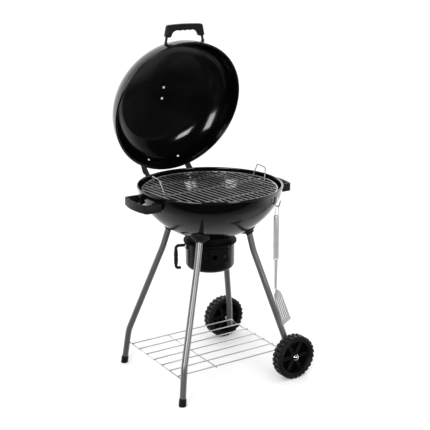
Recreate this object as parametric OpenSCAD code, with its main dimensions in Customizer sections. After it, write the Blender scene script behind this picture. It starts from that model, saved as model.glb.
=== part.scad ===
// Kettle charcoal grill on four tube legs, with two feet and two wheels.
// +X points to the wheels, -Y to the front, +Y to the lid's hinge and +Z up. Millimetres.
// The origin is on the floor, below the middle of the whole grill's outline.

/* [Bowl] */
// Outer radius of the bowl's rolled rim
rim_r = 285; // [280:1:290]
// Height of the rim's top above the floor
rim_z = 777; // [770:1:785]
// Depth of the bowl from the rim's top to its outer bottom
bowl_depth = 215; // [210:1:220]
// Radius of the curve between the bowl's side and its bottom
bowl_shoulder = 98; // [92:1:104]
// Height of the straight wall below the rim
bowl_skirt = 6; // [3:0.5:10]
// Sheet thickness of the bowl
bowl_wall = 2; // [1.5:0.1:3]
// Radius of the rolled edge's section
bead_r = 4.5; // [3.5:0.1:5]
// Radius of the ash opening in the bowl's bottom
ash_hole_r = 80; // [74:1:84]

/* [Lid] */
// Depth of the lid from its rolled edge to its top
lid_depth = 139; // [132:1:146]
// Radius of the curve between the lid's side and its top
lid_shoulder = 112; // [104:1:118]
// Height of the lid's straight wall
lid_skirt = 8; // [5:0.5:14]
// Sheet thickness of the lid
lid_wall = 2; // [1.5:0.1:3]
// Radius of the lid's rolled edge
lid_bead_r = 4; // [3:0.1:4.5]
// How far the lid's rim lies inside the bowl's rim
lid_inset = 2; // [0:0.5:4]
// Gap between the two rims when the lid is shut
lid_gap = 0.5; // [0.3:0.1:1]
// Height of the stiffening rib above the lid's edge
rib_h = 15; // [12:0.5:20]
// Radius of the stiffening rib
rib_r = 1.6; // [1.2:0.1:2]
// Angle between the shut lid and the open lid
lid_open = 71.6; // [60:0.1:80]

/* [Lid hinge] */
// Distance of the pivot behind the bowl's rim
hinge_out = 9; // [7:0.5:12]
// Distance of the pivot below the rim's top
hinge_drop = 26; // [24:0.5:30]
// Half distance between the lid's two hinge ears
ear_x = 104; // [98:1:110]
// Thickness of a hinge ear
ear_t = 2.5; // [2:0.1:3.5]
// Radius of an ear's round end
ear_r = 10; // [9:0.5:12]
// Running gap between a lid ear and a bowl ear
ear_gap = 0.4; // [0.3:0.1:1]
// Radius of the hinge pins
pin_r = 4; // [3:0.1:5]
// Radial running clearance of the hinge pins
pin_fit = 0.05; // [0.02:0.01:0.1]
// Thickness of the hinge plates
plate_t = 2.5; // [2:0.1:3.5]
// Lowest height of the lid's hinge plate above the lid's edge
lid_plate_low = 34; // [28:1:40]
// Height of the lid's hinge plate
lid_plate_h = 38; // [34:1:44]
// Distance of the bowl's hinge plate below the rim's top
bowl_plate_drop = 25; // [22:1:30]
// Height of the bowl's hinge plate
bowl_plate_h = 34; // [30:1:40]
// Half distance between the hinge bolts
hinge_bolt_x = 70; // [60:1:80]

/* [Lid handle] */
// Half distance between the handle's stems
stem_x = 85; // [78:1:90]
// Angle at which the stems lean towards each other
stem_lean = 12; // [6:0.5:14]
// Radius of a steel stem
stem_r = 5; // [4:0.1:6]
// Height of the stem's root above the lid's edge
stem_root_h = 38; // [34:1:46]
// Rise of the stems above level
stem_rise = 18.5; // [14:0.5:26]
// Distance from the lid's axis to the middle of the grip
grip_y = 321; // [316:1:326]
// Radius of the grip
grip_r = 13; // [11:0.5:14]
// Length of the sleeves that hold the stems
sleeve_len = 22; // [18:1:26]
// Radius of the grip's two corners
grip_bend = 15; // [14:0.5:18]
// Reach of the finger guards along the grip
guard_w = 18; // [12:1:22]
// Thickness of the finger guards
guard_t = 19; // [14:1:22]
// Number of finger hollows in the grip
scallops = 4; // [2:1:6]
// Depth of a finger hollow
scallop_depth = 2.5; // [1:0.5:4]

/* [Lid vent] */
// Distance of the vent's pivot in front of the lid's middle
vent_y = 25; // [20:1:30]
// Radius of the vent disc
vent_r = 60; // [58:1:66]
// Thickness of the vent disc
vent_t = 1.5; // [1:0.1:2]
// Number of air holes
vent_holes = 3; // [2:1:3]
// Radius of an air hole
vent_hole_r = 9; // [6:0.5:10]
// Distance of the air holes from the vent's pivot
vent_pitch_r = 27; // [24:0.5:30]
// Distance of the vent's knob from its pivot
knob_reach = 50; // [47:0.5:52]
// Radius of the vent's knob
knob_r = 9; // [7:0.5:11]
// Height of the vent's knob
knob_h = 16; // [12:1:20]
// Turn of the vent from shut to open
vent_turn = 60; // [50:1:60]

/* [Side handles] */
// Height of the top of the side handles above the floor
side_top_z = 752; // [748:1:756]
// Height of a side handle
side_h = 32; // [26:1:36]
// Width of a side handle along the rim
side_w = 172; // [160:1:180]
// Distance from the bowl's axis to the middle of the handle's outer face
side_reach = 343; // [338:1:350]
// Bulge of the handle's outer face
side_bulge = 15; // [10:1:20]
// Thickness of the handle's band
side_t = 13; // [10:0.5:16]
// Width of the screw flanges inside the handle
flange_w = 26; // [22:1:30]
// Thickness of the screw flanges
flange_t = 6; // [4:0.5:8]

/* [Legs] */
// Outer radius of the leg tubes
tube_r = 12.5; // [11:0.1:14]
// Wall of the leg tubes
tube_wall = 1.5; // [1:0.1:2]
// Height of the tubes' upper ends
leg_top_z = 588; // [584:1:590]
// Height of the legs' upper bend
upper_bend_z = 511; // [500:1:525]
// Bend radius of the legs
bend_r = 160; // [120:5:200]
// Distance of a foot leg's upper end from the bowl's axis, along X
foot_top_x = 120; // [116:1:124]
// Distance of a foot leg's upper end from the bowl's axis, along Y
foot_top_y = 117; // [113:1:121]
// Direction of the foot legs in plan
foot_az = 37.9; // [34:0.1:42]
// Slope of a foot leg above its upper bend
foot_tilt_1 = 17; // [14:0.1:20]
// Slope of a foot leg between its bends
foot_tilt_2 = 22; // [19:0.1:25]
// Slope of a foot leg below its lower bend
foot_tilt_3 = 8.5; // [5:0.1:12]
// Height of a foot leg's lower bend
foot_bend_z = 145; // [135:1:155]
// Distance of a wheel leg's upper end from the bowl's axis, along X
wheel_top_x = 123; // [119:1:127]
// Distance of a wheel leg's upper end from the bowl's axis, along Y
wheel_top_y = 91; // [87:1:95]
// Direction of the wheel legs in plan
wheel_az = 46.9; // [44:0.1:50]
// Slope of a wheel leg above its upper bend
wheel_tilt_1 = 13.5; // [11:0.1:16]
// Slope of a wheel leg between its bends
wheel_tilt_2 = 20.4; // [18:0.1:22]
// Slope of a wheel leg below its lower bend
wheel_tilt_3 = 7; // [4:0.1:10]
// Height of a wheel leg's lower bend
wheel_bend_z = 155; // [150:1:165]
// Height of a wheel leg's lower end
wheel_end_z = 62; // [56:1:68]
// Bend radius of the wheel legs' lower bends
wheel_bend_r = 90; // [70:5:110]

/* [Leg fittings] */
// Height of the sockets' lower ends
socket_z = 580; // [576:1:582]
// Radius of a socket's lower end
socket_r = 17; // [15.5:0.5:19]
// Flare of a socket, radius gained per length
socket_flare = 0.62; // [0.5:0.01:0.7]
// Outer radius of a foot cap
cap_r = 14.6; // [14.2:0.1:16]
// Height of a foot cap
cap_h = 30; // [24:1:36]
// Thickness of a foot cap's sole
cap_sole = 5; // [4:0.5:8]

/* [Wheels] */
// Outer radius of the wheels
wheel_r = 89; // [86:0.5:92]
// Width of a wheel
wheel_w = 46; // [42:1:50]
// Distance of the wheels' outer faces from the middle
wheel_face_y = 278; // [275:0.5:281]
// Radius of the wheel's face ring, inside
wheel_ring_r = 66; // [62:0.5:70]
// Radius of the wheel's hub
hub_r = 20; // [17:0.5:22]
// Height of the tread lugs
lug_h = 4.5; // [3:0.5:5]
// Number of lugs in a row
lug_count = 26; // [20:1:30]
// Number of spokes
spoke_count = 6; // [5:1:8]
// Width of a spoke
spoke_w = 15; // [10:1:18]
// Thickness of the spokes
spoke_t = 16; // [12:1:20]
// Thickness of the closed disc between the spokes
web_t = 4; // [3:0.5:6]
// Radius of the axle bolts
axle_r = 4; // [3.5:0.1:4.5]
// Radial running clearance of the wheels
axle_fit = 0.06; // [0.03:0.01:0.1]
// Radius of the hub caps
hub_cap_r = 13; // [12:0.5:15]

/* [Bottom shelf] */
// Height of the shelf's side wires
shelf_z = 94; // [90:1:100]
// Radius of the shelf's wires
shelf_wire = 2.4; // [2:0.1:3]
// Distance between the shelf's lengthwise wires
shelf_pitch = 61; // [56:1:64]
// Number of lengthwise wires
shelf_wires = 7; // [5:2:7]
// How far the left side wire lies inside the foot legs' centre lines
foot_inset = 3.5; // [2:0.5:6]
// How far the right side wire lies inside the wheel legs' centre lines
wheel_inset = 9; // [8.5:0.1:9.5]
// Distance of the cross wire from the left side wire
cross_from_left = 170; // [120:5:300]
// Overhang of the lengthwise wires past the side wires
shelf_over = 6; // [4:0.5:10]

/* [Cooking grate] */
// Height of the cooking grate's ring
grate_z = 761; // [758:0.5:763]
// Radius of the cooking grate's ring
grate_r = 262; // [256:0.5:266]
// Radius of the ring's wire
ring_wire = 3; // [2.5:0.1:3.5]
// Radius of the grate's bars
bar_wire = 2.3; // [2:0.1:2.6]
// Distance between the bars
bar_pitch = 23; // [21:0.5:25]
// Number of bars
bar_count = 21; // [15:2:21]
// Turn of the grate in the bowl
grate_turn = 4.7; // [0:0.1:10]
// Direction of the grate's two handles in plan
loop_az = -6; // [-8:0.5:-4]
// Height of the grate's handles above its bars
loop_h = 58; // [50:1:60]
// Radius of the handles' wire
loop_wire = 2; // [1.6:0.1:2.4]
// Width of a handle at its foot
loop_w = 96; // [90:1:110]
// Width of a handle at its top
loop_top_w = 66; // [60:1:74]
// Distance of a handle's foot from the grate's middle
loop_r = 214; // [208:1:220]
// Outward lean of a handle over its height
loop_lean = 14; // [8:1:16]
// Width of a ledge that carries the cooking grate
ledge_w = 18; // [14:1:22]
// Direction of the first ledge in plan
support_az = 20; // [14:1:30]

/* [Charcoal grate] */
// Height of the charcoal grate's ring
coal_z = 640; // [630:1:650]
// Distance between its bars
coal_pitch = 27; // [25:1:30]
// Number of its bars
coal_count = 13; // [9:2:13]
// Radius of its bars
coal_wire = 2.6; // [2:0.1:2.8]

/* [Ash pot] */
// Outer radius of the ash pot
pot_r = 97; // [95:0.5:98]
// Height of the pot's rim
pot_top_z = 549; // [546:1:550]
// Height of the pot's bottom
pot_low_z = 436; // [430:1:445]
// Corner radius of the pot's bottom
pot_corner = 24; // [18:1:28]
// Sheet thickness of the pot
pot_wall = 1.6; // [1.2:0.1:2]
// Turn of the pot in plan
pot_turn = -20.5; // [-25:0.5:-15]
// Radius of the collar's flange
collar_r = 105; // [102:1:108]
// Thickness of the collar's sheet
collar_t = 2; // [1.5:0.1:3]
// Radius of the pot's air hole
air_r = 10; // [8:0.5:11]
// Height of the air hole
air_z = 504; // [500:1:508]
// Radius of the pot's handle bar
pot_bar_r = 6; // [5:0.1:6.5]
// Radius of the moulded grip on its upright part
pot_grip_r = 8.5; // [7.5:0.1:9.5]
// Length of that grip
pot_grip_len = 64; // [56:1:68]
// Distance from the pot's axis to the upright part of its handle
pot_bar_out = 137; // [134:1:142]
// Height of the handle's foot
pot_bar_low = 441; // [436:1:448]
// Height of the handle's root
pot_bar_top = 532; // [528:1:536]

/* [Pot damper] */
// Height of the damper plate
damper_h = 46; // [42:1:50]
// Thickness of the damper plate
damper_t = 1.5; // [1:0.1:2]
// Part of the damper plate beyond the hole, as an angle
damper_span = 34; // [30:1:38]
// Part of the damper plate before the hole, as an angle
damper_lead = 11; // [10:0.5:13]
// Turn of the damper from open to shut
damper_turn = 20; // [18:1:22]
// Width of the rails' lip over the plate
rail_lip = 3; // [2:0.5:4]

/* [Tool hook and spatula] */
// Direction of the tool hook in plan
hook_az = -60.5; // [-64:0.5:-57]
// Radius of the hook's wire
hook_wire = 2.25; // [1.8:0.05:2.6]
// Distance from the bowl's axis to the spatula's axis
hang_r = 287; // [286:0.5:290]
// Height of the hook's lowest point
hook_low_z = 720; // [716:0.5:722]
// Direction of the spatula's hanging loop in plan
eye_az = -5; // [-20:1:10]
// Radius of the hanging loop's wire
eye_wire = 1.7; // [1.4:0.1:2]
// Half width of the hanging loop
eye_w = 7.5; // [7:0.1:9]
// Height of the spatula handle's top
spat_top_z = 687; // [680:1:692]
// Length of the spatula's handle
spat_grip_len = 177; // [165:1:185]
// Radius of the spatula's handle
spat_grip_r = 12; // [10:0.5:13]
// Wall of the spatula's handle
spat_grip_wall = 1.2; // [0.8:0.1:2]
// Length of the spatula's bare shaft
shaft_len = 116; // [105:1:125]
// Radius of the shaft at the handle
shaft_r = 7.6; // [6:0.1:9]
// Radius of the shaft at the blade
shaft_low_r = 5.6; // [4:0.1:6.5]
// Thickness of the spatula's sheet
sheet_t = 2; // [1.5:0.1:2.5]
// Length of the blade
blade_len = 141; // [130:1:148]
// Width of the blade
blade_w = 81; // [75:1:88]
// Width of the blade at its shoulders
blade_top_w = 62; // [50:1:70]
// Outward tilt of the blade
blade_tilt = 20.6; // [15:0.1:25]
// Number of slots in the blade
slot_count = 4; // [3:1:5]
// Width of a slot
slot_w = 7; // [5:0.5:8]

/* [Hidden] */
$fn = 96;

seat = 0.3;       // gap between curved faces that rest on each other
bore_fit = 0.1;   // radial clearance of a bolt in its bore
cut = 1;          // how far a cutting shape runs past what it cuts
weld = 0.8;       // depth to which welded wires sink into each other
sink = 4;         // depth to which a rib or an arm runs into what carries it
far = 600;        // size of the blocks that trim a shape
hex = 6;          // sides of a nut
joint_ball = 1.012; // swelling of a rod where a bend begins and ends
joint_gap = 0.04; // distance from a bend to the straight rod beside it, for each unit of radius
bolt_r = 2.5;     // shank radius of the small bolts
head_r = 5.5;     // head radius of the small bolts
head_h = 3;       // head height of the small bolts
nut_r = 4.8;      // corner radius of the small nuts
nut_h = 3;        // height of the small nuts

// ---- bowl ----
bead_z = rim_z - bead_r;
bead_c = rim_r - bead_r;
bowl_r = bead_c + bowl_wall / 2;
bowl_d = bowl_depth - bead_r;

// Radius of the flat arc that closes a dish, tangent to its shoulder
function crown_r(r, skirt, shoulder, d) =
    let (a = r - shoulder, t = d - skirt) (a * a + t * t - shoulder * shoulder) / (2 * (t - shoulder));
// Angle between a dish's axis and the line where crown and shoulder meet
function crown_tilt(r, skirt, shoulder, d) =
    asin((r - shoulder) / (crown_r(r, skirt, shoulder, d) - shoulder));
// Radius of a dish's wall, grown by g, at height h above its rim
function dish_r(r, skirt, shoulder, d, h, g = 0) =
    let (rc = crown_r(r, skirt, shoulder, d), up = h - skirt, turn = crown_tilt(r, skirt, shoulder, d))
    up <= 0 ? r + g
    : up <= (shoulder + g) * cos(turn) ? r - shoulder + sqrt((shoulder + g) ^ 2 - up ^ 2)
    : sqrt((rc + g) ^ 2 - (h - d + rc) ^ 2);
function unit(v) = v / norm(v);
function dir(az, rise = 0) = [cos(az) * cos(rise), sin(az) * cos(rise), sin(rise)];

bowl_crown = crown_r(bowl_r, bowl_skirt, bowl_shoulder, bowl_d);
bowl_crown_z = bead_z - bowl_d + bowl_crown;
function bowl_r_at(z, g = 0) = dish_r(bowl_r, bowl_skirt, bowl_shoulder, bowl_d, bead_z - z, g);
// Height of the bowl's outer bottom, grown by g, at radius r
function bowl_z_at(r, g = 0) = bowl_crown_z - sqrt((bowl_crown + g) ^ 2 - r ^ 2);
// Distance along d from p to the bowl's lower wall, grown by g
function to_bowl(p, d, g = 0) =
    let (m = p - [0, 0, bowl_crown_z], b = m * d) -b - sqrt(b * b - m * m + (bowl_crown + g) ^ 2);

// ---- lid, in its shut place ----
lid_z = rim_z + lid_gap + lid_bead_r;
lid_bead_c = rim_r - lid_inset - lid_bead_r;
lid_r = lid_bead_c + lid_wall / 2;
lid_crown = crown_r(lid_r, lid_skirt, lid_shoulder, lid_depth);
lid_crown_z = lid_z + lid_depth - lid_crown;
function lid_r_at(h, g = 0) = dish_r(lid_r, lid_skirt, lid_shoulder, lid_depth, h, g);
hinge_y = rim_r + hinge_out;
hinge_z = rim_z - hinge_drop;
bowl_ear_x = ear_x - ear_t - ear_gap;
ear_root = plate_t / 2; // distance from a wall to the ears, which start inside the hinge plate
lid_bolt_h = lid_plate_low + lid_plate_h / 2;
bowl_bolt_z = rim_z - bowl_plate_drop - bowl_plate_h / 2;

// ---- legs ----
function run(dz, tilt) = dz * tan(tilt);
// Corner points of a leg: [x, y, z] with x and y on the +X, +Y side
function leg_points(top, az, tilts, top_z, bend_1, bend_2, end_z) =
    let (s1 = run(top_z - bend_1, tilts[0]), s2 = s1 + run(bend_1 - bend_2, tilts[1]),
         s3 = s2 + run(bend_2 - end_z, tilts[2]))
    [for (q = [[0, top_z], [s1, bend_1], [s2, bend_2], [s3, end_z]])
        [top[0] + q[0] * cos(az), top[1] + q[0] * sin(az), q[1]]];
foot_leg = leg_points([foot_top_x, foot_top_y], foot_az, [foot_tilt_1, foot_tilt_2, foot_tilt_3],
    leg_top_z, upper_bend_z, foot_bend_z, cap_sole);
wheel_leg = leg_points([wheel_top_x, wheel_top_y], wheel_az, [wheel_tilt_1, wheel_tilt_2, wheel_tilt_3],
    leg_top_z, upper_bend_z, wheel_bend_z, wheel_end_z);
// Point of a leg's lowest straight part at height z
function leg_at(leg, z) = leg[2] + (leg[3] - leg[2]) * (leg[2][2] - z) / (leg[2][2] - leg[3][2]);
// Mirror a point to the leg at sides sx, sy
function mirrored(p, sx, sy) = [p[0] * sx, p[1] * sy, p[2]];
axle_at = leg_at(wheel_leg, wheel_r);
leg_bolt_r = 4;        // shank radius of the bolts at the legs' upper ends
leg_head_r = 8;        // radius of their heads
leg_head_h = 4;        // height of their heads
leg_plug_len = 14;     // length of the plug inside a tube's upper end
plug_len = 12;         // length of the plug inside a wheel leg's lower end
plug_head = 3;         // height of its head
tube_fit = 0.1;        // radial clearance round a tube
foot_base = leg_at(foot_leg, 0);

// ---- wheels ----
tyre_r = wheel_r - lug_h;
lug_w = 0.6 * PI * wheel_r / lug_count;
edge_in = 4.5;         // chamfer of the tyre's inner edges
edge_out = 2;          // chamfer of its outer edges
wheel_in_y = wheel_face_y - wheel_w;
hub_in_y = wheel_in_y - 2;
hub_out_y = wheel_face_y - 7;
spacer_r = axle_r + 4;
axle_head_r = 9;       // radius of an axle's head
axle_head_h = 3;       // height of an axle's head
axle_nut_r = 7.5;      // corner radius of an axle's nut
axle_nut_h = 6.5;      // height of an axle's nut
axle_over = 3;         // thread that shows past the nut
// Distance from a wheel leg's centre to a flat piece of radius r beside it
function beside_leg(r) = tube_r / cos(wheel_tilt_3) + r * tan(wheel_tilt_3) + seat;
spacer_y = axle_at[1] + beside_leg(spacer_r);
axle_nut_y = axle_at[1] - beside_leg(axle_nut_r);

// ---- grates ----
bar_span = (bar_count - 1) / 2;
support_r = grate_r - ledge_w / 2;
coal_r = sqrt((bowl_crown - bowl_wall - seat - ring_wire) ^ 2 - (bowl_crown_z - coal_z) ^ 2);
coal_span = (coal_count - 1) / 2;

// ---- ash pot ----
collar_z = pot_top_z + seat;
neck_r = ash_hole_r + 9;
neck_low_z = pot_top_z - 14;
clip_span = 14;        // width of a spring tongue, as an angle
clip_h = 10;           // height of a spring tongue
damper_z = air_z + 4;
plate_r = pot_r + seat;
air_az = pot_turn - 90;
pot_handle_az = pot_turn + 180;

// ---- spatula ----
hook_dir = dir(hook_az);
side_dir = dir(hook_az + 90);
hang = hang_r * hook_dir;
hook_bend = 8;         // bend radius of the hook's curve
hook_arm = 9.5;        // reach of the hook's curve to each side
hook_pivot_z = hook_low_z + hook_bend;
eye_top_z = hook_low_z + hook_wire + seat + eye_wire;
spat_low_z = spat_top_z - spat_grip_len;
shaft_low_z = spat_low_z - shaft_len;
blade_neck = 26;       // length over which the blade widens
slot_margin = 18;      // distance of the slots' lower ends from the blade's edge
slot_top = 16;         // distance of their upper ends below the neck

// ---- the whole grill's outline, front and back ----
lid_back = hinge_y + (lid_r - lid_shoulder + lid_shoulder * cos(lid_open) - hinge_y) * cos(lid_open)
    + (lid_z + lid_skirt + lid_shoulder * sin(lid_open) - hinge_z) * sin(lid_open);
blade_front = (hang_r + blade_len * sin(blade_tilt) + sheet_t / 2 * cos(blade_tilt)) * -sin(hook_az)
    + blade_w / 2 * cos(hook_az);
middle_y = (lid_back - blade_front) / 2;

// ======== helpers ========

module in_frame() { translate([0, -middle_y, 0]) children(); }

// Put a piece of the shut lid where it is when the lid stands open
module lid_placed() {
    translate([0, hinge_y, hinge_z]) rotate([-lid_open, 0, 0]) translate([0, -hinge_y, -hinge_z]) children();
}

// Half section of a solid dish, opening down, grown by g and run foot below its rim
module dish_area(r, skirt, shoulder, d, g = 0, foot = 0) {
    turn = crown_tilt(r, skirt, shoulder, d);
    rc = crown_r(r, skirt, shoulder, d);
    a = r - shoulder;
    ray = far * [sin(turn), cos(turn)];
    translate([0, -foot]) square([r + g, skirt + foot]);
    intersection() {
        translate([a, skirt]) circle(shoulder + g);
        translate([a, skirt]) polygon([[0, 0], [far, 0], [far, far], ray]);
    }
    intersection() {
        translate([0, d - rc]) circle(rc + g, $fn = 4 * $fn);
        polygon([[0, skirt], [a, skirt], [a, skirt] + ray, [0, far]]);
    }
}

module bowl_area(g = 0, foot = 0) {
    translate([0, bead_z]) mirror([0, 1]) dish_area(bowl_r, bowl_skirt, bowl_shoulder, bowl_d, g, foot);
}

// Solid of the bowl's outer shape, grown by g, open at the top
module bowl_blank(g = 0, foot = 0) { rotate_extrude($fn = 4 * $fn) bowl_area(g, foot); }

module lid_area(g = 0, foot = 0) {
    translate([0, lid_z]) dish_area(lid_r, lid_skirt, lid_shoulder, lid_depth, g, foot);
}

// Frame with its Z along u, at p
module along(p, u) {
    n = abs(u[2]) > 0.9 ? unit(cross([0, 1, 0], u)) : unit(cross([0, 0, 1], u));
    m = cross(u, n);
    multmatrix([[n[0], m[0], u[0], p[0]], [n[1], m[1], u[1], p[1]], [n[2], m[2], u[2], p[2]], [0, 0, 0, 1]])
        children();
}

// Solid rod of radius r along corner points, with round bends; both ends run on by over
module bent_solid(points, bends, r, over) {
    last = len(points) - 1;
    u = [for (i = [0:last - 1]) unit(points[i + 1] - points[i])];
    phi = [for (i = [0:last]) i == 0 || i == last ? 0 : acos(u[i - 1] * u[i])];
    back = [for (i = [0:last]) i == 0 || i == last ? -over : bends[i - 1] * tan(phi[i] / 2) + joint_gap * r];
    for (i = [0:last - 1])
        along(points[i] + u[i] * back[i], u[i])
            cylinder(h = norm(points[i + 1] - points[i]) - back[i] - back[i + 1], r = r);
    for (i = [1:1:last - 1]) {
        bend = bends[i - 1];
        n = unit(u[i] - (u[i] * u[i - 1]) * u[i - 1]);
        w = cross(u[i - 1], n);
        c = points[i] - u[i - 1] * bend * tan(phi[i] / 2) + n * bend;
        multmatrix([[-n[0], u[i - 1][0], w[0], c[0]], [-n[1], u[i - 1][1], w[1], c[1]],
                    [-n[2], u[i - 1][2], w[2], c[2]], [0, 0, 0, 1]]) {
            rotate_extrude(angle = phi[i]) translate([bend, 0]) circle(r);
            for (a = [0, phi[i]]) rotate([0, 0, a]) translate([bend, 0, 0]) sphere(r * joint_ball);
        }
    }
}

// Rod, or tube when wall is more than 0, along corner points
module bent_rod(points, bends, r, wall = 0) {
    difference() {
        bent_solid(points, bends, r, 0);
        if (wall > 0) bent_solid(points, bends, r - wall, cut);
    }
}

// Domed head of radius r and height h, standing on z = 0
module dome_head(r, h) {
    ball = (r * r + h * h) / (2 * h);
    rotate_extrude() intersection() {
        translate([0, h - ball]) circle(ball);
        square([r, h]);
    }
}

// Small bolt: head above z = 0, clamped thickness below it, then the nut
module bolt(grip) {
    dome_head(head_r, head_h);
    translate([0, 0, -grip - nut_h - cut]) cylinder(h = grip + nut_h + cut, r = bolt_r);
    translate([0, 0, -grip - nut_h]) cylinder(h = nut_h, r = nut_r, $fn = hex);
}

module bore(depth, r = bolt_r + bore_fit) {
    translate([0, 0, -depth]) cylinder(h = 2 * depth, r = r);
}

// Put a fastener on the bowl's outer wall, its Z pointing straight out of the wall
module on_bowl(az, z, out) {
    r = bowl_r_at(z);
    u = dir(az, -asin((bead_z - z - bowl_skirt) / bowl_shoulder));
    along([r * cos(az), r * sin(az), z] + out * u, u) children();
}

module leg_tube(leg, sx, sy, lower_bend) {
    bent_rod([for (p = leg) mirrored(p, sx, sy)], [bend_r, lower_bend], tube_r, tube_wall);
}

// Axis of a leg's upper end
module at_leg_top(leg, sx, sy) {
    a = mirrored(leg[0], sx, sy);
    b = mirrored(leg[1], sx, sy);
    along(a, unit(a - b)) children();
}

// ======== bowl and what is fixed to it ========

side_bolt_y = side_w / 2 - side_t - flange_w / 2;
side_bolt_z = side_top_z - side_h / 2;
side_bolt_az = asin(side_bolt_y / bowl_r_at(side_bolt_z, flange_t));
side_bolt_azs = [side_bolt_az, -side_bolt_az, 180 - side_bolt_az, 180 + side_bolt_az];
hook_bolt_z = 741;
hook_bolt_az = hook_az + 3;
strap_t = 2;               // thickness of the tool hook's plate
strap_h = 26;              // height of the tool hook's plate

module at_side_bolts(azs) {
    for (az = azs) on_bowl(az, side_bolt_z, flange_t + seat) children();
}

// Axes of the four leg bolts, from the tubes' upper ends into the bowl
module at_leg_bolts() {
    for (sy = [-1, 1]) {
        at_leg_top(foot_leg, -1, sy) children();
        at_leg_top(wheel_leg, 1, sy) children();
    }
}

module at_bowl_hinge_bolts() {
    turn = asin(hinge_bolt_x / bowl_r_at(bowl_bolt_z));
    for (sx = [-1, 1]) on_bowl(90 + sx * turn, bowl_bolt_z, plate_t + seat) children();
}

module bowl_shell() color("#141414") difference() {
    rotate_extrude() {
        difference() {
            bowl_area();
            bowl_area(-bowl_wall, cut);
            translate([-cut, bead_z - bowl_d - cut]) square([ash_hole_r + cut, bowl_d / 2]);
        }
        translate([bead_c, bead_z]) circle(bead_r);
    }
    at_side_bolts(side_bolt_azs) bore(3 * flange_t);
    at_leg_bolts() bore(leg_top_z / 8, leg_bolt_r + bore_fit);
    at_bowl_hinge_bolts() bore(4 * plate_t);
    on_bowl(hook_bolt_az, hook_bolt_z, 0) bore(4 * plate_t);
}

// Plan of the right side handle: a bowed band with two screw flanges
module side_outline() {
    bow = ((side_w / 2) ^ 2 + side_bulge ^ 2) / (2 * side_bulge);
    difference() {
        intersection() {
            translate([side_reach - bow, 0]) circle(bow);
            translate([0, -side_w / 2]) square([far, side_w]);
        }
        intersection() {
            translate([side_reach - bow, 0]) circle(bow - side_t);
            translate([-cut, -side_w / 2 + side_t]) square([far, side_w - 2 * side_t]);
        }
    }
    for (sy = [-1, 1]) intersection() {
        circle(bowl_r + flange_t);
        translate([0, sy * (side_w / 2 - side_t - flange_w / 2) - flange_w / 2 - seat])
            square([far, flange_w + 2 * seat]);
    }
}

module side_handle(turn) color("#1c1c1c") difference() {
    translate([0, 0, side_top_z - side_h]) linear_extrude(side_h) rotate(turn) side_outline();
    bowl_blank(seat, far);
    at_side_bolts([turn + side_bolt_az, turn - side_bolt_az]) {
        bore(3 * flange_t);
        cylinder(h = 2 * flange_t, r = head_r + bore_fit);
    }
}

module side_handle_bolts() color("silver")
    at_side_bolts(side_bolt_azs) translate([0, 0, seat]) bolt(flange_t + bowl_wall + 3 * seat);

module leg_socket(leg, sx, sy) color("#181818") difference() {
    at_leg_top(leg, sx, sy) translate([0, 0, socket_z - leg_top_z])
        cylinder(h = far / 10, r1 = socket_r, r2 = socket_r + socket_flare * far / 10);
    bowl_blank(seat, far);
    at_leg_top(leg, sx, sy) {
        translate([0, 0, -far / 4]) cylinder(h = far / 4 + seat, r = tube_r + tube_fit);
        bore(far / 10, leg_bolt_r + bore_fit);
    }
}

module leg_bolt(leg, sx, sy) {
    a = mirrored(leg[0], sx, sy);
    u = unit(a - mirrored(leg[1], sx, sy));
    reach = to_bowl(a, u, -bowl_wall);
    lift = leg_head_r / 2;
    along(a, u) {
        translate([0, 0, -leg_plug_len]) cylinder(h = leg_plug_len - seat, r = tube_r - tube_wall - tube_fit);
        translate([0, 0, -leg_plug_len]) cylinder(h = leg_plug_len + reach + lift, r = leg_bolt_r);
        translate([0, 0, reach + lift]) dome_head(leg_head_r, leg_head_h);
    }
    intersection() {
        along(a, u) translate([0, 0, reach - lift]) cylinder(h = 2 * lift, r = leg_head_r);
        bowl_blank(-bowl_wall - bore_fit, far);
    }
}

module leg_bolts() color("silver") for (sy = [-1, 1]) {
    leg_bolt(foot_leg, -1, sy);
    leg_bolt(wheel_leg, 1, sy);
}

// Cross bore for a shelf wire's end, through the leg's inner wall
module shelf_bore(sx, sy) {
    translate([shelf_x(sx), 0, shelf_z]) rotate([-90 * sy, 0, 0])
        cylinder(h = shelf_end_y(sx) + tube_r / 2, r = shelf_wire + bore_fit);
}

function shelf_leg(sx) = sx < 0 ? foot_leg : wheel_leg;
function shelf_x(sx) = sx * (leg_at(shelf_leg(sx), shelf_z)[0] - (sx < 0 ? foot_inset : wheel_inset));
function shelf_end_y(sx) = leg_at(shelf_leg(sx), shelf_z)[1] - tube_r / 4;

module foot_leg_tube(sy) color("#808284") difference() {
    leg_tube(foot_leg, -1, sy, bend_r);
    shelf_bore(-1, sy);
}

module wheel_leg_tube(sy) color("#808284") difference() {
    leg_tube(wheel_leg, 1, sy, wheel_bend_r);
    shelf_bore(1, sy);
    translate([axle_at[0], sy * axle_at[1], wheel_r]) rotate([90, 0, 0]) bore(2 * tube_r, axle_r + bore_fit);
}

module foot_cap(sy) color("#141414") {
    low = mirrored(foot_base, -1, sy);
    up = unit(mirrored(leg_at(foot_leg, cap_h), -1, sy) - low);
    end = mirrored(foot_leg[3], -1, sy);
    difference() {
        along(low - cap_h * up, up) cylinder(h = 2 * cap_h, r = cap_r);
        translate([-far, -far, -far]) cube([2 * far, 2 * far, far]);
        along(end - seat * up, up) cylinder(h = 2 * cap_h, r = tube_r + tube_fit);
    }
}

module leg_plugs() color("#141414") for (sy = [-1, 1]) {
    end = mirrored(wheel_leg[3], 1, sy);
    down = unit(end - mirrored(wheel_leg[2], 1, sy));
    along(end, down) {
        cylinder(h = plug_head, r = tube_r);
        translate([0, 0, -plug_len]) cylinder(h = plug_len + cut, r = tube_r - tube_wall - tube_fit);
    }
}

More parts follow.
